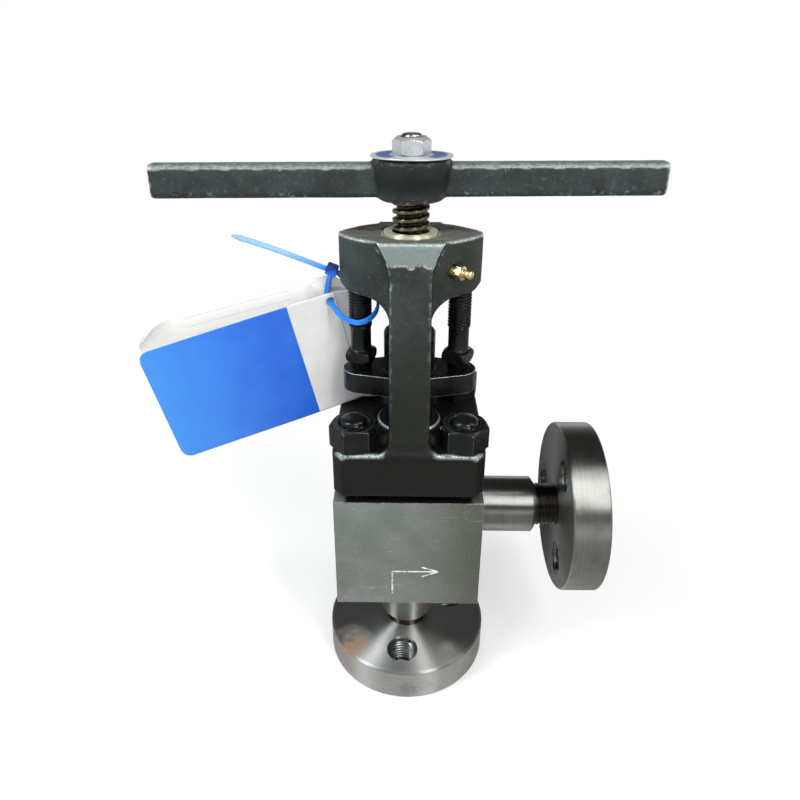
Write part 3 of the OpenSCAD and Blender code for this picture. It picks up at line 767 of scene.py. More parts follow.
yoke, spots, ways = forged("forged_yoke", "yoke", yoke_grain, yoke_rounds, 11)
half = np.clip((spots[:, 2] - facet_foot) / facet_tall, 0, 1)
side = facet_narrow + facet_flare * half**2 + 1.2 * lumps(spots, 2.6, 6)
ragged = facet_low + 1.8 * lumps(spots, 3.4, 5) + 1.2 * lumps(spots, 1.6, 8)
facing = np.abs(ways[:, 1]) > 0.72
mark(yoke, "facet", (np.abs(spots[:, 0]) < side) & (spots[:, 2] > ragged) & facing)

yoke_iron, shade, scale, pits = forged_iron(
    "oiled forging", tint(34, 40, 36), tint(58, 68, 66), tint(142, 152, 150), 0.2, 0.5
)
part = add(yoke_iron, "SeparateXYZ", Vector=place(yoke_iron))
height = part.outputs["Z"]
facet = read(yoke_iron, "facet")
# The hammered facet is painted lighter with ragged flecks: partly its brighter hammered skin,
# partly a painted reflection of the light above.
facet_sheen_and_flecks = calc(yoke_iron, "ADD", facet, between(yoke_iron, scale, 0.3, 0.7, -0.35, 0.35))
verge = product_of(
    yoke_iron, between(yoke_iron, facet, 0.2, 0.5), between(yoke_iron, facet, 0.95, 0.7),
    between(yoke_iron, scale, 0.42, 0.56), 0.6,
)
# The edges under hands and spanners are rubbed in wider, grainier bands, also painted lighter as a
# highlight: the base's and the top block's front upper rims. The back of the ground top is painted
# black: the painted shadow and dark reflection of the handle over it, with oil.
base_rim = product_of(
    yoke_iron, between(yoke_iron, height, 0.1590, 0.1606), between(yoke_iron, height, 0.166, 0.165),
    between(yoke_iron, part.outputs["Y"], -0.0350, -0.0365),
    between(yoke_iron, calc(yoke_iron, "ABSOLUTE", part.outputs["X"]), 0.0115, 0.0145),
)
top_rim = product_of(
    yoke_iron, between(yoke_iron, height, yoke_top - 0.0020, yoke_top - 0.0012),
    between(yoke_iron, part.outputs["Y"], 0.004, -0.002),
)
# The front rims are painted lighter: partly rubbed iron, partly a painted highlight.
rubbed_band_and_highlight = product_of(
    yoke_iron, between(yoke_iron, read(yoke_iron, "wear"), 0.06, 0.26),
    between(yoke_iron, cloud(yoke_iron, place(yoke_iron), 950, 3, 0.7), 0.36, 0.56, 0.1, 1),
    calc(yoke_iron, "MAXIMUM", base_rim, top_rim),
)
top = between(yoke_iron, height, yoke_top - 0.0006, yoke_top - 0.0003)
rough = between(yoke_iron, height, yoke_top - 0.0010, yoke_top - 0.0004, 1, 0.06)
# The back half of the top is painted black, as the handle's painted shadow and reflection, with
# oil.
handle_shadow_and_oil = product_of(
    yoke_iron, top, between(yoke_iron, part.outputs["Y"], -0.001, 0.005, 0, 0.9)
)
shade = layered(
    yoke_iron, shade,
    (between(yoke_iron, part.outputs["X"], -0.012, 0.03, 0, 0.6), tint(44, 46, 36)),
    (between(yoke_iron, height, 0.24, 0.19, 0, 0.85), tint(24, 27, 17)),
    (between(yoke_iron, height, 0.172, 0.160, 0, 0.8), tint(15, 17, 13)),
    (between(yoke_iron, facet_sheen_and_flecks, 0.4, 0.75, 0, 0.8), tint(134, 148, 146)),
    (verge, tint(186, 196, 194)),
    (top, tint(142, 142, 128)),
    (handle_shadow_and_oil, tint(12, 12, 11)),
    (rubbed_band_and_highlight, tint(184, 194, 191)),
)
feed(
    yoke_iron,
    Base_Color=shade,
    Roughness=calc(
        yoke_iron, "SUBTRACT", between(yoke_iron, scale, 0.3, 0.75, 0.36, 0.56),
        calc(yoke_iron, "MULTIPLY", top, 0.26),
    ),
    Metallic=between(yoke_iron, top, 0, 1, 0.5, 0.7),
    Normal=relief(
        yoke_iron, calc(yoke_iron, "MULTIPLY", pits, rough), 0.12,
        relief(yoke_iron, calc(yoke_iron, "MULTIPLY", scale, rough), 0.24),
    ),
)
fit(yoke, "yoke", yoke_iron)

# ---- Bushing ----
# A threaded bronze bushing pressed in the top block. Its pale turned face stands a little
# out of the block round the stem.

bronze = lathe_steel(
    "pale bronze", *stem_line,
    (tint(236, 234, 206), tint(246, 244, 222), tint(196, 188, 154)), 0.4,
)
bronze.node_tree.nodes["Principled BSDF"].inputs["Metallic"].default_value = 0.7
bushing = make_mesh("pressed_bushing", *node_shape("yoke_bushing"))
ease_edges(bushing, 0.35)
fit(bushing, "yoke_bushing", bronze)

# ---- Gland ----
# A turned sleeve that presses on the packing and the pear-ended plate that pushes it down.
# Both are blackened and oily, and the plate's upper edge has rubbed bright.


def black_steel(name, wear_share=0.0):
    """Blackened steel wet with oil, its scale fine and uneven."""
    material = new_finish(name, 0.4, 0.36, Specular_IOR_Level=0.5)
    spot = place(material)
    blotch = cloud(material, spot, 80, 4, 0.6)
    scale = cloud(material, spot, 700, 4, 0.7)
    wet = cloud(material, spot, 140, 3, 0.5, 0.5)
    shade = layered(
        material, tint(12, 14, 14), (between(material, blotch, 0.35, 0.7), tint(27, 30, 30)),
        (between(material, scale, 0.62, 0.8, 0, 0.35), tint(92, 98, 96)),
    )
    if wear_share:
        wear = between(material, scale, 0.25, 0.5, wear_share * 0.4, wear_share)
        shade = mix(material, wear, shade, tint(168, 174, 170))
    feed(
        material,
        Base_Color=shade,
        Roughness=between(material, wet, 0.35, 0.65, 0.12, 0.42),
        Normal=relief(material, scale, 0.12),
    )
    return material


oiled_black = black_steel("oiled black steel")
rubbed_black = black_steel("rubbed black steel", 0.9)
touched_black = black_steel("touched black steel", 0.35)
sleeve = make_mesh("turned_sleeve", *node_shape("gland_sleeve"))
ease_edges(sleeve, 0.3)
fit(sleeve, "gland_sleeve", oiled_black)

plate = make_mesh("forged_plate", *node_shape("gland_plate"))
eased = ease_edges(plate, 1.5, 3)
eased.material = 1
plate.data.materials.clear()
plate.data.materials.append(oiled_black)
plate.data.materials.append(rubbed_black)
fit(plate, "gland_plate", oiled_black)

# ---- Gland bolts ----
# Square-headed bolts screwed up into the top block, with their round points on the plate.
# Their heads are hot forged, round-cornered and wet with oil.

bolt_pitch = 1.75
bolt_depth = 0.85
bolt_head_w = 13.3
bolt_r = 5.95
bolt_l = 62.5
head_turns = {"gland_bolt_left": -16, "gland_bolt_right": -28}
bolt_rows = [
    (0, 0), (5.0, 0), (5.45, 0.5), (5.45, 3.2), (6.0, 4.0), (7.2, 4.6), (8.4, 5.5), (9.0, 6.7),
    (9.2, 7.8), (9.0, 8.9), (8.4, 9.8), (7.4, 10.5), (6.0, 11.0), (5.5, 11.4), (5.3, 12.1),
    (5.3, 23.2), (bolt_r, 24), (bolt_r, bolt_l - 1), (5.2, bolt_l), (0, bolt_l),
]
for name, head_turn in head_turns.items():
    low, high = node_box(name)
    points, faces = turned(
        bolt_rows, corners=4, across=bolt_head_w, turn=head_turn + 45, steps=80,
        threads=[(23.6, bolt_l - 1, bolt_pitch, bolt_depth, 0.1)],
    )
    middle = [(low + high)[0] / 2, 0, low[2]]
    bolt = make_mesh("forged_" + name, points + middle, faces)
    bolt.data.set_sharp_from_angle(angle=radians(50))
    fit(bolt, name, oiled_black)

# ---- Studs and nuts of the base ----
# Four black studs screwed into the body hold bonnet and yoke down with hexagon nuts. The
# studs end in a low dome, the nuts are chamfered, and both shine with oil.

stud_pitch = 2.0
nut_across = 22.0
nut_bevel = 1.4
stud_r = 7.0
nut_turns = (10, -14, 20, 0)
dome = np.linspace(pi / 2, 0, 9)
dome_r, dome_tall = 6.6, 2.5


def nut_rows(across, height, bore_r, bevel, crown):
    """Rows round a nut's wall: its bore, lower face, chamfer, sides, chamfer and upper face.
    The lower chamfer starts from a circle nearly as wide as the flats, the upper one, as
    high as bevel, from the crown's radius, and both run out past the corners."""
    corner = across / cos(pi / 6) / 2
    drop = np.linspace(0, 1, 8)[:, None]
    low = (1 - drop) * [across / 2 - 0.35, 0] + drop * [corner + 0.05, 0.7]
    high = (1 - drop) * [corner + 0.05, height - bevel] + drop * [crown, height]
    return np.concatenate([
        [(bore_r, 1), (bore_r + 0.9, 0)], low, high,
        [(bore_r + 1, height), (bore_r, height - 0.9)],
    ])


def hexagon_nut(name, node, middle, across, turn, bore_r, bevel, crown, edge):
    """A hexagon nut as high as the node, round a middle, with its bevel and the rounding of
    its edges, whose width is edge."""
    low, high = node_box(node)
    rows = nut_rows(across, high[2] - low[2], bore_r, bevel, crown)
    points, faces = turned(rows, corners=6, across=across, turn=turn, steps=120, hollow=True)
    nut = make_mesh(name, points + [*middle, low[2]], faces)
    nut.data.set_sharp_from_angle(angle=radians(40))
    eased = nut.modifiers.new("eased", "BEVEL")
    eased.width = edge * mm
    eased.segments = 2
    eased.limit_method = "ANGLE"
    eased.angle_limit = radians(24)
    return nut, eased


nut_black = black_steel("oiled nut steel")
for i, nut_turn in enumerate(nut_turns, 1):
    low, high = node_box(f"base_stud_{i}")
    middle = (low + high)[:2] / 2
    length = high[2] - low[2]
    cap = np.stack(
        [dome_r * np.sin(dome), length - dome_tall + dome_tall * np.cos(dome)], axis=-1
    )
    points, faces = turned(
        [(0, 0), (6.2, 0), (stud_r, 0.9), (stud_r, length - 3), *cap],
        threads=[(0.5, length - 2.6, stud_pitch, 1.1, 0.1)], steps=64,
    )
    stud = make_mesh(f"domed_stud_{i}", points + [*middle, low[2]], faces)
    stud.data.set_sharp_from_angle(angle=radians(50))
    fit(stud, f"base_stud_{i}", nut_black)
    nut, eased = hexagon_nut(
        f"chamfered_nut_{i}", f"base_nut_{i}", middle, nut_across, nut_turn,
        stud_r + 0.05, nut_bevel, nut_across / 2 - 0.35, 0.3,
    )
    eased.material = 1
    nut.data.materials.append(nut_black)
    nut.data.materials.append(touched_black)
    fit(nut, f"base_nut_{i}", nut_black)

# ---- Grease nipple ----
# A small brass nipple turned from hexagon bar and screwed into the block's right face. Its
# ball head, with the greasing hole, is polished by the gun.

# Where it meets the block's right face, and the way it points
nipple_across = 6.5
nipple_at = (20.8, -15.95, 251.0)
nipple_way = (0.788, -0.616, 0)
nipple_rows = [
    (0, -5), (2.6, -5), (2.6, 1.3), (3.3, 1.5), (3.78, 1.8), (3.78, 4.4), (3.35, 4.75),
    (2.1, 4.9), (1.75, 5.3), (1.7, 5.8), (1.9, 6.1), (2.25, 6.6), (2.4, 7.3), (2.4, 7.9),
    (2.2, 8.8), (1.75, 9.6), (1.1, 10.0), (0.55, 10.06), (0.5, 9.7), (0, 9.1),
]
points, faces = turned(nipple_rows, corners=6, across=nipple_across, steps=72)
points = set_at(points, nipple_at, (0.616, 0.788, 0), nipple_way)
nipple = make_mesh("brass_nipple", points, faces)
nipple.data.set_sharp_from_angle(angle=radians(38))
brass = new_finish("polished brass", 1.0, 0.22)
smear = cloud(brass, place(brass), 700, 3, 0.6)
feed(
    brass,
    Base_Color=mix(
        brass, between(brass, smear, 0.4, 0.75), tint(238, 220, 166), tint(190, 162, 102)
    ),
    Roughness=between(brass, smear, 0.35, 0.7, 0.24, 0.42),
    Normal=relief(brass, cloud(brass, place(brass), 2500, 2, 0.5), 0.03),
)
fit(nipple, "grease_nipple", brass)

# ---- Stem ----
# A turned steel stem: smooth through the packing, a coarse four millimetre thread above it
# that is browned by old grease, and a stud on its end for the handle's nut.

stem_r = 9
stem_foot = 110.3
stem_pitch = 4.0
stem_thread_from = 205.0
stem_thread_depth = 2.0
low, high = node_box("stem")
hub_low, hub_high = node_box("handle")
stem_rows = [
    (0, low[2]), (4.6, low[2]), (5, low[2] + 0.5), (5, stem_foot), (stem_r - 0.4, stem_foot),
    (stem_r, stem_foot + 0.5), (stem_r, hub_low[2] - 0.5), (8, hub_low[2] + 0.5),
    (8, hub_high[2]), (4.95, hub_high[2]), (4.95, high[2] - 1.2), (4.4, high[2] - 0.4),
    (3.3, high[2]), (0, high[2]),
]
points, faces = turned(
    stem_rows,
    threads=[
        (stem_thread_from, hub_low[2] + 2, stem_pitch, stem_thread_depth, 0.3),
        (hub_high[2], high[2] - 0.8, 1.5, 0.7, 0.1),
    ],
)
stem = make_mesh("threaded_stem", points, faces)
stem.data.set_sharp_from_angle(angle=radians(50))
stem_steel = new_finish("greased stem steel", 1.0, 0.3, Anisotropic=0.5, Anisotropic_Rotation=0.25)
marks, round_way = lathe_marks(stem_steel, *stem_line)
bands = cloud(stem_steel, marks, 1.2, 4, 0.7)
grease = cloud(stem_steel, place(stem_steel), 160, 4, 0.65, 0.6)
spot = add(stem_steel, "SeparateXYZ", Vector=marks)
# Blotches of grease, rubbed crests, black roots, and the clean stud above the handle
shade = layered(
    stem_steel, tint(98, 89, 72), (between(stem_steel, grease, 0.36, 0.66), tint(54, 45, 34)),
    (between(stem_steel, spot.outputs["X"], 8.3, stem_r, 0, 0.5), tint(134, 128, 108)),
    (between(stem_steel, spot.outputs["X"], 7.9, 7.0, 0, 0.8), tint(30, 25, 19)),
    (between(stem_steel, spot.outputs["Y"], 301.2, 301.8), tint(190, 192, 194)),
)
feed(
    stem_steel,
    Base_Color=shade,
    Roughness=between(stem_steel, grease, 0.3, 0.7, 0.2, 0.45),
    Normal=relief(stem_steel, bands, 0.06),
    Tangent=round_way,
)
fit(stem, "stem", stem_steel, "stem_turn")

# ---- Handle ----
# A forged T-handle: a barrel hub driven on the stem's head and two flat bars, left as forged with
# rounded edges and uneven skin. The bars' upper faces are painted lighter, partly rubbed and partly
# a painted highlight, and the hub is painted dark under the disc as its painted shadow.

handle_grain = 0.75
handle_rounds = 4
hub_reach = 19
handle, spots, ways = forged("forged_handle", "handle", handle_grain, handle_rounds, 37)
handle_iron, shade, scale, pits = forged_iron(
    "oiled handle forging", tint(36, 42, 41), tint(62, 72, 72), tint(158, 170, 168), 0.12, 0.36
)
# The bars' upward faces are painted lighter in a broken band: partly rubbed iron, partly a painted
# highlight of the light from above.
mark(handle, "crest", (np.abs(spots[:, 0]) > hub_reach) & (ways[:, 2] > 0.3))
crest = calc(
    handle_iron, "MULTIPLY", between(handle_iron, read(handle_iron, "crest"), 0.15, 0.6),
    between(handle_iron, scale, 0.32, 0.62, 0.25, 0.8),
)
part = add(handle_iron, "SeparateXYZ", Vector=place(handle_iron))
away = calc(handle_iron, "ABSOLUTE", part.outputs["X"])
# Under the disc the hub is painted dark, as the disc's painted shadow.
disc_shadow_on_hub = product_of(
    handle_iron, between(handle_iron, away, 0.018, 0.013),
    between(handle_iron, part.outputs["Z"], 0.283, 0.289, 0.1, 0.8),
)
feed(
    handle_iron,
    Base_Color=layered(
        handle_iron, shade, (crest, tint(150, 161, 159)), (disc_shadow_on_hub, tint(20, 23, 21))
    ),
    Roughness=between(handle_iron, scale, 0.3, 0.75, 0.32, 0.52),
    Normal=relief(handle_iron, pits, 0.15, relief(handle_iron, scale, 0.32)),
)
fit(handle, "handle", handle_iron, "stem_turn")

# ---- Disc on the hub ----
# A thin aluminium disc under the nut, dished and bent up at its front edge, with blue printed
# on both sides of its middle.

disc_r = 19.4
disc_bore_r = 5.05
dish_from = 9
disc_low, disc_high = (corner[2] for corner in node_box("top_disc"))
across = np.linspace(8.5, disc_r - 0.3, 12)
disc_rows = [
    (disc_bore_r, disc_low), *((r, disc_low) for r in across), (disc_r, disc_low + 0.3),
    (disc_r, disc_high - 0.3), *((r, disc_high) for r in across[::-1]), (disc_bore_r, disc_high),
]
points, faces = turned(disc_rows, steps=120, hollow=True)
across, deep = points[..., 0], points[..., 1]
out = np.clip((np.hypot(across, deep) - dish_from) / (disc_r - dish_from), 0, 1)
ripple = 0.12 * np.sin(3 * np.arctan2(deep, across) + 0.6)
points[..., 2] += out**2 * (-0.1 - 0.55 * deep / disc_r + ripple)
disc = make_mesh("dished_disc", points, faces)
disc.data.set_sharp_from_angle(angle=radians(50))
aluminium = new_finish("printed aluminium", 0.55, 0.36)
marks, _ = lathe_marks(aluminium, *stem_line)
reach = add(aluminium, "SeparateXYZ", Vector=marks).outputs["X"]
spot = add(aluminium, "SeparateXYZ", Vector=place(aluminium))
angle = calc(
    aluminium, "ARCTAN2", calc(aluminium, "ABSOLUTE", spot.outputs["Y"]),
    calc(aluminium, "ABSOLUTE", spot.outputs["X"]),
)
worn = cloud(aluminium, place(aluminium), 420, 4, 0.7)
printed = product_of(
    aluminium, between(aluminium, reach, 10.2, 10.5), between(aluminium, reach, 16.8, 16.4),
    between(aluminium, angle, 0.86, 0.82), between(aluminium, worn, 0.68, 0.6),
)
feed(
    aluminium,
    Base_Color=mix(aluminium, printed, tint(208, 212, 214), tint(58, 104, 178)),
    Roughness=between(aluminium, worn, 0.3, 0.7, 0.28, 0.44),
    Normal=relief(aluminium, worn, 0.05),
)
fit(disc, "top_disc", aluminium, "stem_turn")

# ---- Nut on the stem ----
# A hexagon nut that holds the handle down on the stem's end. It is zinc plated steel, with a
# high crown and corners that are chamfered at both ends.

top_nut_across = 16.0
top_nut_turn = 2.8
top_nut, _ = hexagon_nut(
    "plated_nut", "stem_nut", (0, 0), top_nut_across, top_nut_turn, 5.05, 2.0, 6.8, 0.25
)
zinc = new_finish("zinc plate", 0.6, 0.3)
cast = cloud(zinc, place(zinc), 240, 3, 0.6)
feed(
    zinc,
    Base_Color=mix(zinc, between(zinc, cast, 0.35, 0.7), tint(196, 200, 204), tint(172, 176, 178)),
    Roughness=between(zinc, cloud(zinc, place(zinc), 900, 3, 0.6), 0.3, 0.7, 0.24, 0.4),
    Normal=relief(zinc, cloud(zinc, place(zinc), 1500, 2, 0.5), 0.03),
)
fit(top_nut, "stem_nut", zinc, "stem_turn")

# ---- Card ----
# A printed card folded round the left gland bolt, blue outside with a white end and white
# inside. Its front leaf is creased beside the bolt, and its back leaf's free top corner has
# rolled forward.

card_at = (-39.5, 8.9, 231.8)
card_lean, card_droop, card_swing = 2, -12.9, 17.4
card_l = 103.0
card_h = 67.0
card_back_h = 64.0
card_strip = 7.5
strip_turn = -30
fold_r = 1.8
card_gap = 16.0
card_rise = 8.0
card_corner = 5.5
# Where the rolled corner's start crosses the top and the free edge, from their corner, and
# the roll's radius there and its growth downwards
roll_top, roll_side, roll_r, roll_grow = 22.0, 19.8, 6.0, 0.09
card_step = 0.9
card_t = 0.45
rule_step = 5.2
hole_back = 3.0
hole_drop = 4.6
hole_r = 2.3


def turned_about(points, axis, turn):
    """Points turned by an angle in degrees about the X, Y or Z axis."""
    after, last = (axis + 1) % 3, (axis + 2) % 3
    matrix = np.eye(3)
    matrix[after, after] = matrix[last, last] = cos(radians(turn))
    matrix[after, last] = sin(radians(turn))
    matrix[last, after] = -sin(radians(turn))
    return points @ matrix


def arc(centre, radius, start, end):
    """Points of a circle about a millimetre apart, between two angles in degrees."""
    count = max(6, int(abs(end - start) / 57 * radius / card_step))
    angle = np.radians(np.linspace(start, end, count))
    return np.stack([np.cos(angle), np.sin(angle)], axis=-1) * radius + centre


strip_end = card_strip * np.array([cos(radians(strip_turn)), sin(radians(strip_turn))])
fold_at = strip_end + fold_r * np.array([-sin(radians(strip_turn)), cos(radians(strip_turn))])
plan = np.concatenate([
    [(-card_l, 0), (-0.3, 0), (0.25, -0.15)], [strip_end * 0.97],
    arc(fold_at, fold_r, strip_turn - 90, strip_turn + 60),
    [(0, 2 * fold_r + 0.4), (-card_l, card_gap)],
])
back_way = unit(plan[-1] - plan[-2])
measure = np.concatenate([[0], np.linalg.norm(np.diff(plan, axis=0), axis=1).cumsum()])
reach = np.linspace(0, measure[-1], round(measure[-1] / card_step))
fall = np.linspace(0, 1, round(card_h / card_step))
reach, fall = np.meshgrid(reach, fall, indexing="ij")
end_way = np.minimum(reach, measure[-1] - reach)
inset = card_corner - np.sqrt(
    np.maximum(card_corner**2 - np.maximum(card_corner - end_way, 0) ** 2, 0)
)
drop = inset + fall * (card_h - 2 * inset)
faces = grid_faces(*reach.shape)
flat = np.stack([reach.ravel(), drop.ravel()], axis=-1)
hole = np.array([card_l - hole_back, hole_drop])
kept = np.linalg.norm(flat[faces].mean(axis=1) - hole, axis=1) > hole_r
faces = faces[kept]
used = np.unique(faces)
arm = flat - hole
far = np.linalg.norm(arm, axis=1)
rim = np.isin(np.arange(len(flat)), used) & (far < hole_r + 0.45 * card_step)
flat[rim] = hole + arm[rim] * (hole_r / far[rim])[:, None]
ease = np.clip((flat[:, 0] - card_l - card_strip) / 16, 0, 1)
rise = card_rise * ease * ease * (3 - 2 * ease)
wave = 0.4 * np.sin(flat[:, 0] / 31 + flat[:, 1] / 40)
wave = wave * np.clip((card_l - 12 - flat[:, 0]) / 30, 0, 1)
# The roll: past its slanting start the card bends round a slim cone, so the distance past
# the start becomes a sine across the card and one minus a cosine out of it.
down = flat[:, 1] * (1 + (card_back_h / card_h - 1) * ease)
side = measure[-1] - flat[:, 0]
slant = np.hypot(roll_top, roll_side)
past = np.maximum(roll_top * roll_side - side * roll_side - down * roll_top, 0) / slant
cone = roll_r + roll_grow * ((roll_top - side) * roll_top + down * roll_side) / slant
cone = np.maximum(cone, 1.0)
draw = (past - cone * np.sin(past / cone)) / slant
out_of = cone * (1 - np.cos(past / cone))
card_x, card_y = (np.interp(flat[:, 0], measure, plan[:, i]) for i in range(2))
card = np.stack([
    card_x - back_way[0] * draw * roll_side - back_way[1] * out_of,
    card_y - back_way[1] * draw * roll_side + back_way[0] * out_of + wave,
    rise - down - draw * roll_top,
], axis=-1)
card = turned_about(turned_about(turned_about(card, 0, card_lean), 1, card_droop), 2, card_swing)
new_number = np.cumsum(np.isin(np.arange(len(flat)), used)) - 1
tag = make_mesh("folded_card", card[used] + card_at, new_number[faces])
store(tag, "reach", flat[used, 0])
store(tag, "drop", flat[used, 1])

printed_card = new_finish("printed card", 0.0, 0.38, Specular_IOR_Level=0.5)
length = read(printed_card, "reach")
white_end = calc(
    printed_card, "MULTIPLY", between(printed_card, length, card_l - 25.8, card_l - 25.5),
    between(printed_card, length, card_l + 36.0, card_l + 35.7),
)
grime = cloud(printed_card, place(printed_card), 60, 4, 0.6)
smudge = between(printed_card, grime, 0.3, 0.7)
# The blue print is painted lighter towards the front leaf's free end, as a painted gradient of
# light.
ink_and_painted_light = layered(
    printed_card, tint(14, 88, 198), (smudge, tint(26, 104, 211)),
    (between(printed_card, length, 60, 0, 0, 0.7), tint(62, 142, 219)),
)
# Past the crease the strip and the fold are painted grey as painted shade, and the crease line
# darker still.
crease = calc(printed_card, "ABSOLUTE", calc(printed_card, "SUBTRACT", length, card_l))
paper_and_painted_shade = layered(
    printed_card, tint(216, 216, 216), (smudge, tint(204, 203, 200)),
    (between(printed_card, length, card_l - 0.6, card_l + 0.6), tint(160, 162, 163)),
    (between(printed_card, crease, 0.7, 0.2, 0, 0.6), tint(118, 120, 122)),
)
fibre = cloud(printed_card, place(printed_card), 1600, 3, 0.6)
buckle = cloud(printed_card, place(printed_card), 26, 2, 0.5)
feed(
    printed_card,
    Base_Color=mix(printed_card, white_end, ink_and_painted_light, paper_and_painted_shade),
    Roughness=between(printed_card, smudge, 0, 1, 0.32, 0.46),
    Normal=relief(printed_card, fibre, 0.01, relief(printed_card, buckle, 1.2)),
)
plain_card = new_finish("plain card", 0.0, 0.55)
fibre = cloud(plain_card, place(plain_card), 1600, 3, 0.6)
drop = read(plain_card, "drop")
length = read(plain_card, "reach")
ruled = calc(plain_card, "FRACT", calc(plain_card, "DIVIDE", drop, rule_step))
ruled = calc(plain_card, "ABSOLUTE", calc(plain_card, "SUBTRACT", ruled, 0.5))
ruled = product_of(
    plain_card, between(plain_card, ruled, 0.05, 0.03),
    between(plain_card, length, card_l + 44, card_l + 45),
    between(plain_card, length, card_l + 101, card_l + 100), 0.3,
)
stain = product_of(
    plain_card, between(plain_card, length, card_l + 48, card_l + 20),
    between(plain_card, cloud(plain_card, place(plain_card), 120, 3, 0.6), 0.42, 0.62), 0.45,
)
feed(
    plain_card,
    Base_Color=layered(
        plain_card, tint(232, 232, 231), (ruled, tint(130, 134, 138)), (stain, tint(176, 140, 116))
    ),
    Normal=relief(plain_card, fibre, 0.01),
)
tag.data.materials.append(printed_card)
tag.data.materials.append(plain_card)
thick = tag.modifiers.new("thick", "SOLIDIFY")
thick.thickness = card_t * mm
thick.offset = -0.2
thick.use_even_offset = True
thick.material_offset = 1
thick.material_offset_rim = 1
fit(tag, "tag_card", printed_card)

# ---- Tie ----
# A blue nylon cable tie: a flat toothed strap looped through the card and round the bolt,
# pulled through its boxed head, with the spare length left on.

strap_w = 2.7
strap_t = 1.5
tooth = 1.0
tooth_deep = 0.32
strap_step = 0.25
# Points of the strap's middle, and the way that its smooth side faces there
tail_route = [
    (-88, 2, 263.1, 0.1, -0.85, 0.5), (-73, 3.5, 257.7, 0.1, -0.85, 0.5),
    (-58, 5, 251.6, 0.1, -0.9, 0.4), (-42, 6, 244.9, 0.1, -0.9, 0.3),
    (-40, 6.2, 244.3, 0.1, -0.9, 0.3),
]
loop_route = [
    (-39.9, 6.5, 243.4, -0.3, -0.9, 0), (-41.3, 8.4, 239.3, -0.5, -0.85, 0),
    (-42.3, 9.7, 236.1, -0.5, -0.85, 0), (-43, 10.1, 232.7, -0.5, -0.85, 0),
    (-43.1, 10.1, 229.7, -0.4, -0.8, 0.1), (-42.6, 9.8, 227.7, -0.3, -0.5, 0.6),
    (-41.6, 8.6, 226.7, -0.1, -0.1, 1), (-40.5, 6.4, 226.1, -0.2, 0.1, 1),
    (-38.3, 2.6, 224.4, -0.6, -0.1, 0.8), (-34.9, -2, 222.7, -0.8, -0.5, 0.4),
    (-30.7, -6, 221.7, -0.5, -0.9, 0.2), (-26.1, -8.4, 221.6, -0.1, -1, 0.1),
    (-21.5, -8.1, 222.8, 0.3, -1, 0), (-17.9, -5.4, 225.1, 0.8, -0.7, 0),
    (-16.3, -1.4, 227.9, 1, -0.1, 0), (-16.9, 3, 230.5, 1, 0.4, 0), (-19.7, 7, 232.5, 0.5, 0.9, 0),
    (-23.9, 9, 233.9, 0, 1, 0), (-27.8, 9.2, 234.9, -0.1, 1, 0.1), (-30.9, 8.4, 236, -0.2, 1, 0.2),
    (-33.3, 7.6, 238.7, -0.1, 1, 0), (-35.7, 7.2, 241.5, 0, 1, 0), (-38.4, 6.5, 243.9, 0, 1, 0),
]
head_at = np.array([-39.7, 6.3, 244.5])
head_half = np.array([2.95, 2.95, 2.75])
head_turn = 22


def strap(route, tapered):
    """Points and faces of the strap along a route: a rounded oblong section, with a saw wave
    cut across its toothed side, narrowed to a round tip at its start if it is tapered."""
    line = along(route, strap_step)
    run = np.concatenate([[0], np.linalg.norm(np.diff(line[:, :3], axis=0), axis=1).cumsum()])
    ring = np.linspace(0, tau, 20, endpoint=False)
    across = np.sign(np.cos(ring)) * np.abs(np.cos(ring)) ** 0.4 * strap_w / 2
    through = np.sign(np.sin(ring)) * np.abs(np.sin(ring)) ** 0.4 * strap_t / 2
    tip = np.clip(run / 4.5, 0.02, 1) ** 0.5 if tapered else np.ones(len(run))
    saw = tooth_deep * np.mod(run / tooth, 1) * np.clip((run - 9 * tapered) / 3, 0, 1)
    outline = np.stack([
        tip[:, None] * across,
        np.where(through < 0, through + saw[:, None] * (np.abs(across) < strap_w * 0.36), through),
    ], axis=-1)
    points = swept(line[:, :3], line[:, 3:], outline)
    return points.reshape(-1, 3), grid_faces(*points.shape[:2], round_columns=True)


tail, tail_faces = strap(tail_route, True)
loop, loop_faces = strap(loop_route, False)
faces = np.concatenate([tail_faces, loop_faces + len(tail)])
tie = make_mesh("toothed_strap", np.concatenate([tail, loop]), faces)
tie.data.set_sharp_from_angle(angle=radians(45))
spots = points_of(tie)
# The tail's free end is painted paler, as painted light shining through the nylon from behind.
store(tie, "pale", np.clip((-42 - spots[:, 0]) / 20, 0, 1) * (spots[:, 2] > 245))
nylon = new_finish("blue nylon", 0.0, 0.34, Subsurface_Weight=0.15, Subsurface_Scale=0.002)
flow = cloud(nylon, place(nylon), 300, 3, 0.6)
feed(
    nylon,
    Base_Color=layered(
        nylon, tint(14, 104, 202), (between(nylon, flow, 0.3, 0.7), tint(24, 128, 224)),
        (read(nylon, "pale"), tint(126, 176, 214)),
    ),
    Roughness=between(nylon, flow, 0.3, 0.7, 0.28, 0.42),
    Normal=relief(nylon, cloud(nylon, place(nylon), 1800, 2, 0.5), 0.02),
)
fit(tie, "tie_strap", nylon)

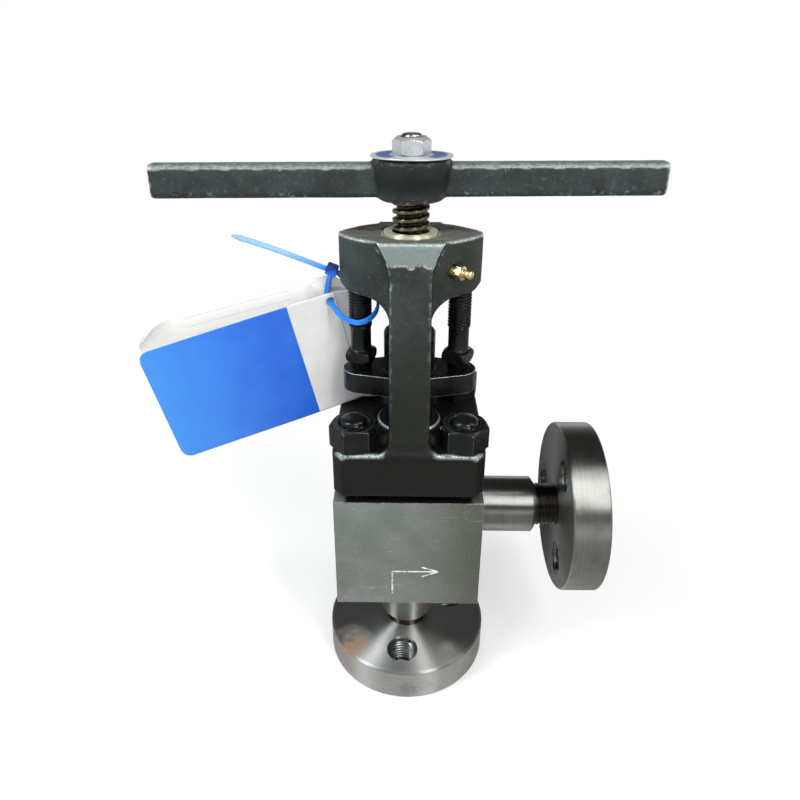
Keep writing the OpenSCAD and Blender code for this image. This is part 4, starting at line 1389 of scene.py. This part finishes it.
# The head is a rounded box round the strap: the sines and cosines of two angles, each raised
# to a small power so that the sphere squares up, with a raised lip round its slot.
down = np.linspace(-pi / 2, pi / 2, 25)
ring = np.linspace(0, tau, 48, endpoint=False)
down, ring = np.meshgrid(down, ring, indexing="ij")
power = 0.22
cos_down, sin_down, cos_ring, sin_ring = (
    np.sign(wave) * np.abs(wave) ** power
    for wave in (np.cos(down), np.sin(down), np.cos(ring), np.sin(ring))
)
box = np.stack([cos_down * cos_ring, cos_down * sin_ring, sin_down], axis=-1) * head_half
box[..., :2] *= 1 + 0.05 * (np.abs(box[..., 2:]) < 1.2)
box = turned_about(box, 1, head_turn)
head = make_mesh("strap_head", box + head_at, grid_faces(*down.shape, round_columns=True))
dark_nylon = new_finish(
    "dark blue nylon", 0.0, 0.42, Specular_IOR_Level=0.35, Subsurface_Weight=0.1,
    Subsurface_Scale=0.002,
)
flow = cloud(dark_nylon, place(dark_nylon), 400, 3, 0.6)
height = add(dark_nylon, "SeparateXYZ", Vector=place(dark_nylon)).outputs["Z"]
feed(
    dark_nylon,
    Base_Color=layered(
        dark_nylon, tint(8, 38, 112), (between(dark_nylon, flow, 0.3, 0.7), tint(12, 56, 146)),
        (between(dark_nylon, height, 0.2455, 0.2432), tint(22, 100, 198)),
    ),
    Normal=relief(dark_nylon, cloud(dark_nylon, place(dark_nylon), 1500, 2, 0.5), 0.03),
)
fit(head, "tie_head", dark_nylon)

# ---- Floor and light ----
# A plain white floor that runs out into a white room with a dim ceiling, which turned steel
# mirrors as dark. A wide dim panel stands in front, and tall narrow soft lamps to the left,
# in front and to the right.

floor_r = 3000.0
floor_gap = 0.05
lamp_aim = 0.12
points, faces = turned([(0, 0), (floor_r / 6, 0), (floor_r, 0)], steps=64)
floor = make_mesh("studio_floor", points * [1, 1, 0] - [0, 0, floor_gap], faces[:, ::-1])
white = bpy.data.materials.new("white floor")
white.use_nodes = True
white.node_tree.nodes.clear()
far = add(white, "VectorMath", {"operation": "LENGTH"}, i0=place(white)).outputs["Value"]
path = add(white, "LightPath")
seen = calc(white, "MAXIMUM", path.outputs["Is Camera Ray"], path.outputs["Is Transmission Ray"])
share = calc(white, "MULTIPLY", seen, between(white, far, 0.16, 0.5, 0.35, 1.0))
glossy = path.outputs["Is Glossy Ray"]
share = calc(
    white, "MAXIMUM", share, calc(white, "MULTIPLY", glossy, between(white, far, 0.5, 1.6, 0, 1.0))
)
share = calc(white, "MULTIPLY", share, between(white, far, 0.042, 0.052))
matt = add(
    white, "BsdfDiffuse",
    Color=mix(
        white, glossy, (0.9, 0.9, 0.9, 1),
        mix(white, between(white, far, 0.075, 0.11), (0.8, 0.8, 0.8, 1), (0.28, 0.28, 0.28, 1)),
    ),
).outputs[0]
glow = add(white, "Emission", Color=(1, 1, 1, 1), Strength=1.0).outputs[0]
surface = add(white, "MixShader", i0=share, i1=matt, i2=glow).outputs[0]
add(white, "OutputMaterial", Surface=surface)
floor.data.materials.append(white)

# Each lamp: place, width, height, power and colour
lamps = {
    "front panel": ((0.08, -0.96, 0.96), 1.3, 0.5, 3.2, (1.0, 1.0, 1.0)),
    "left lamp": ((-0.80, -0.42, 0.98), 0.30, 0.8, 10.2, (0.94, 0.99, 1.0)),
    "front lamp": ((0.46, -0.74, 0.98), 0.22, 0.8, 7.0, (1.0, 1.0, 0.98)),
    "right lamp": ((0.88, -0.16, 0.98), 0.16, 0.7, 3.2, (1.0, 0.98, 0.95)),
}
for name, (spot, width, tall, power, colour) in lamps.items():
    data = bpy.data.lights.new(name, "AREA")
    data.shape = "RECTANGLE"
    data.size = width
    data.size_y = tall
    data.energy = power
    data.color = colour
    lamp = bpy.data.objects.new(name, data)
    scene.collection.objects.link(lamp)
    lamp.location = spot
    away = lamp.location.copy()
    away.z -= lamp_aim
    lamp.rotation_euler = away.to_track_quat("Z", "Y").to_euler()

room = bpy.data.worlds.new("white room")
scene.world = room
room.use_nodes = True
path = add(room, "LightPath")
up = add(room, "SeparateXYZ", Vector=add(room, "TexCoord").outputs["Generated"]).outputs["Z"]
ceiling = between(room, up, 0.03, 0.27, 0.9, 0.04)
mirrored = calc(room, "MAXIMUM", path.outputs["Is Glossy Ray"], path.outputs["Is Transmission Ray"])
even = between(room, path.outputs["Is Camera Ray"], 0, 1, 0.55, 1.0)
power = add(room, "Mix", {"data_type": "FLOAT"}, i0=mirrored, i2=even, i3=ceiling).outputs[0]
room.node_tree.links.new(power, room.node_tree.nodes["Background"].inputs["Strength"])
room.node_tree.nodes["Background"].inputs["Color"].default_value = (1, 1, 1, 1)
scene.view_settings.view_transform = "Standard"
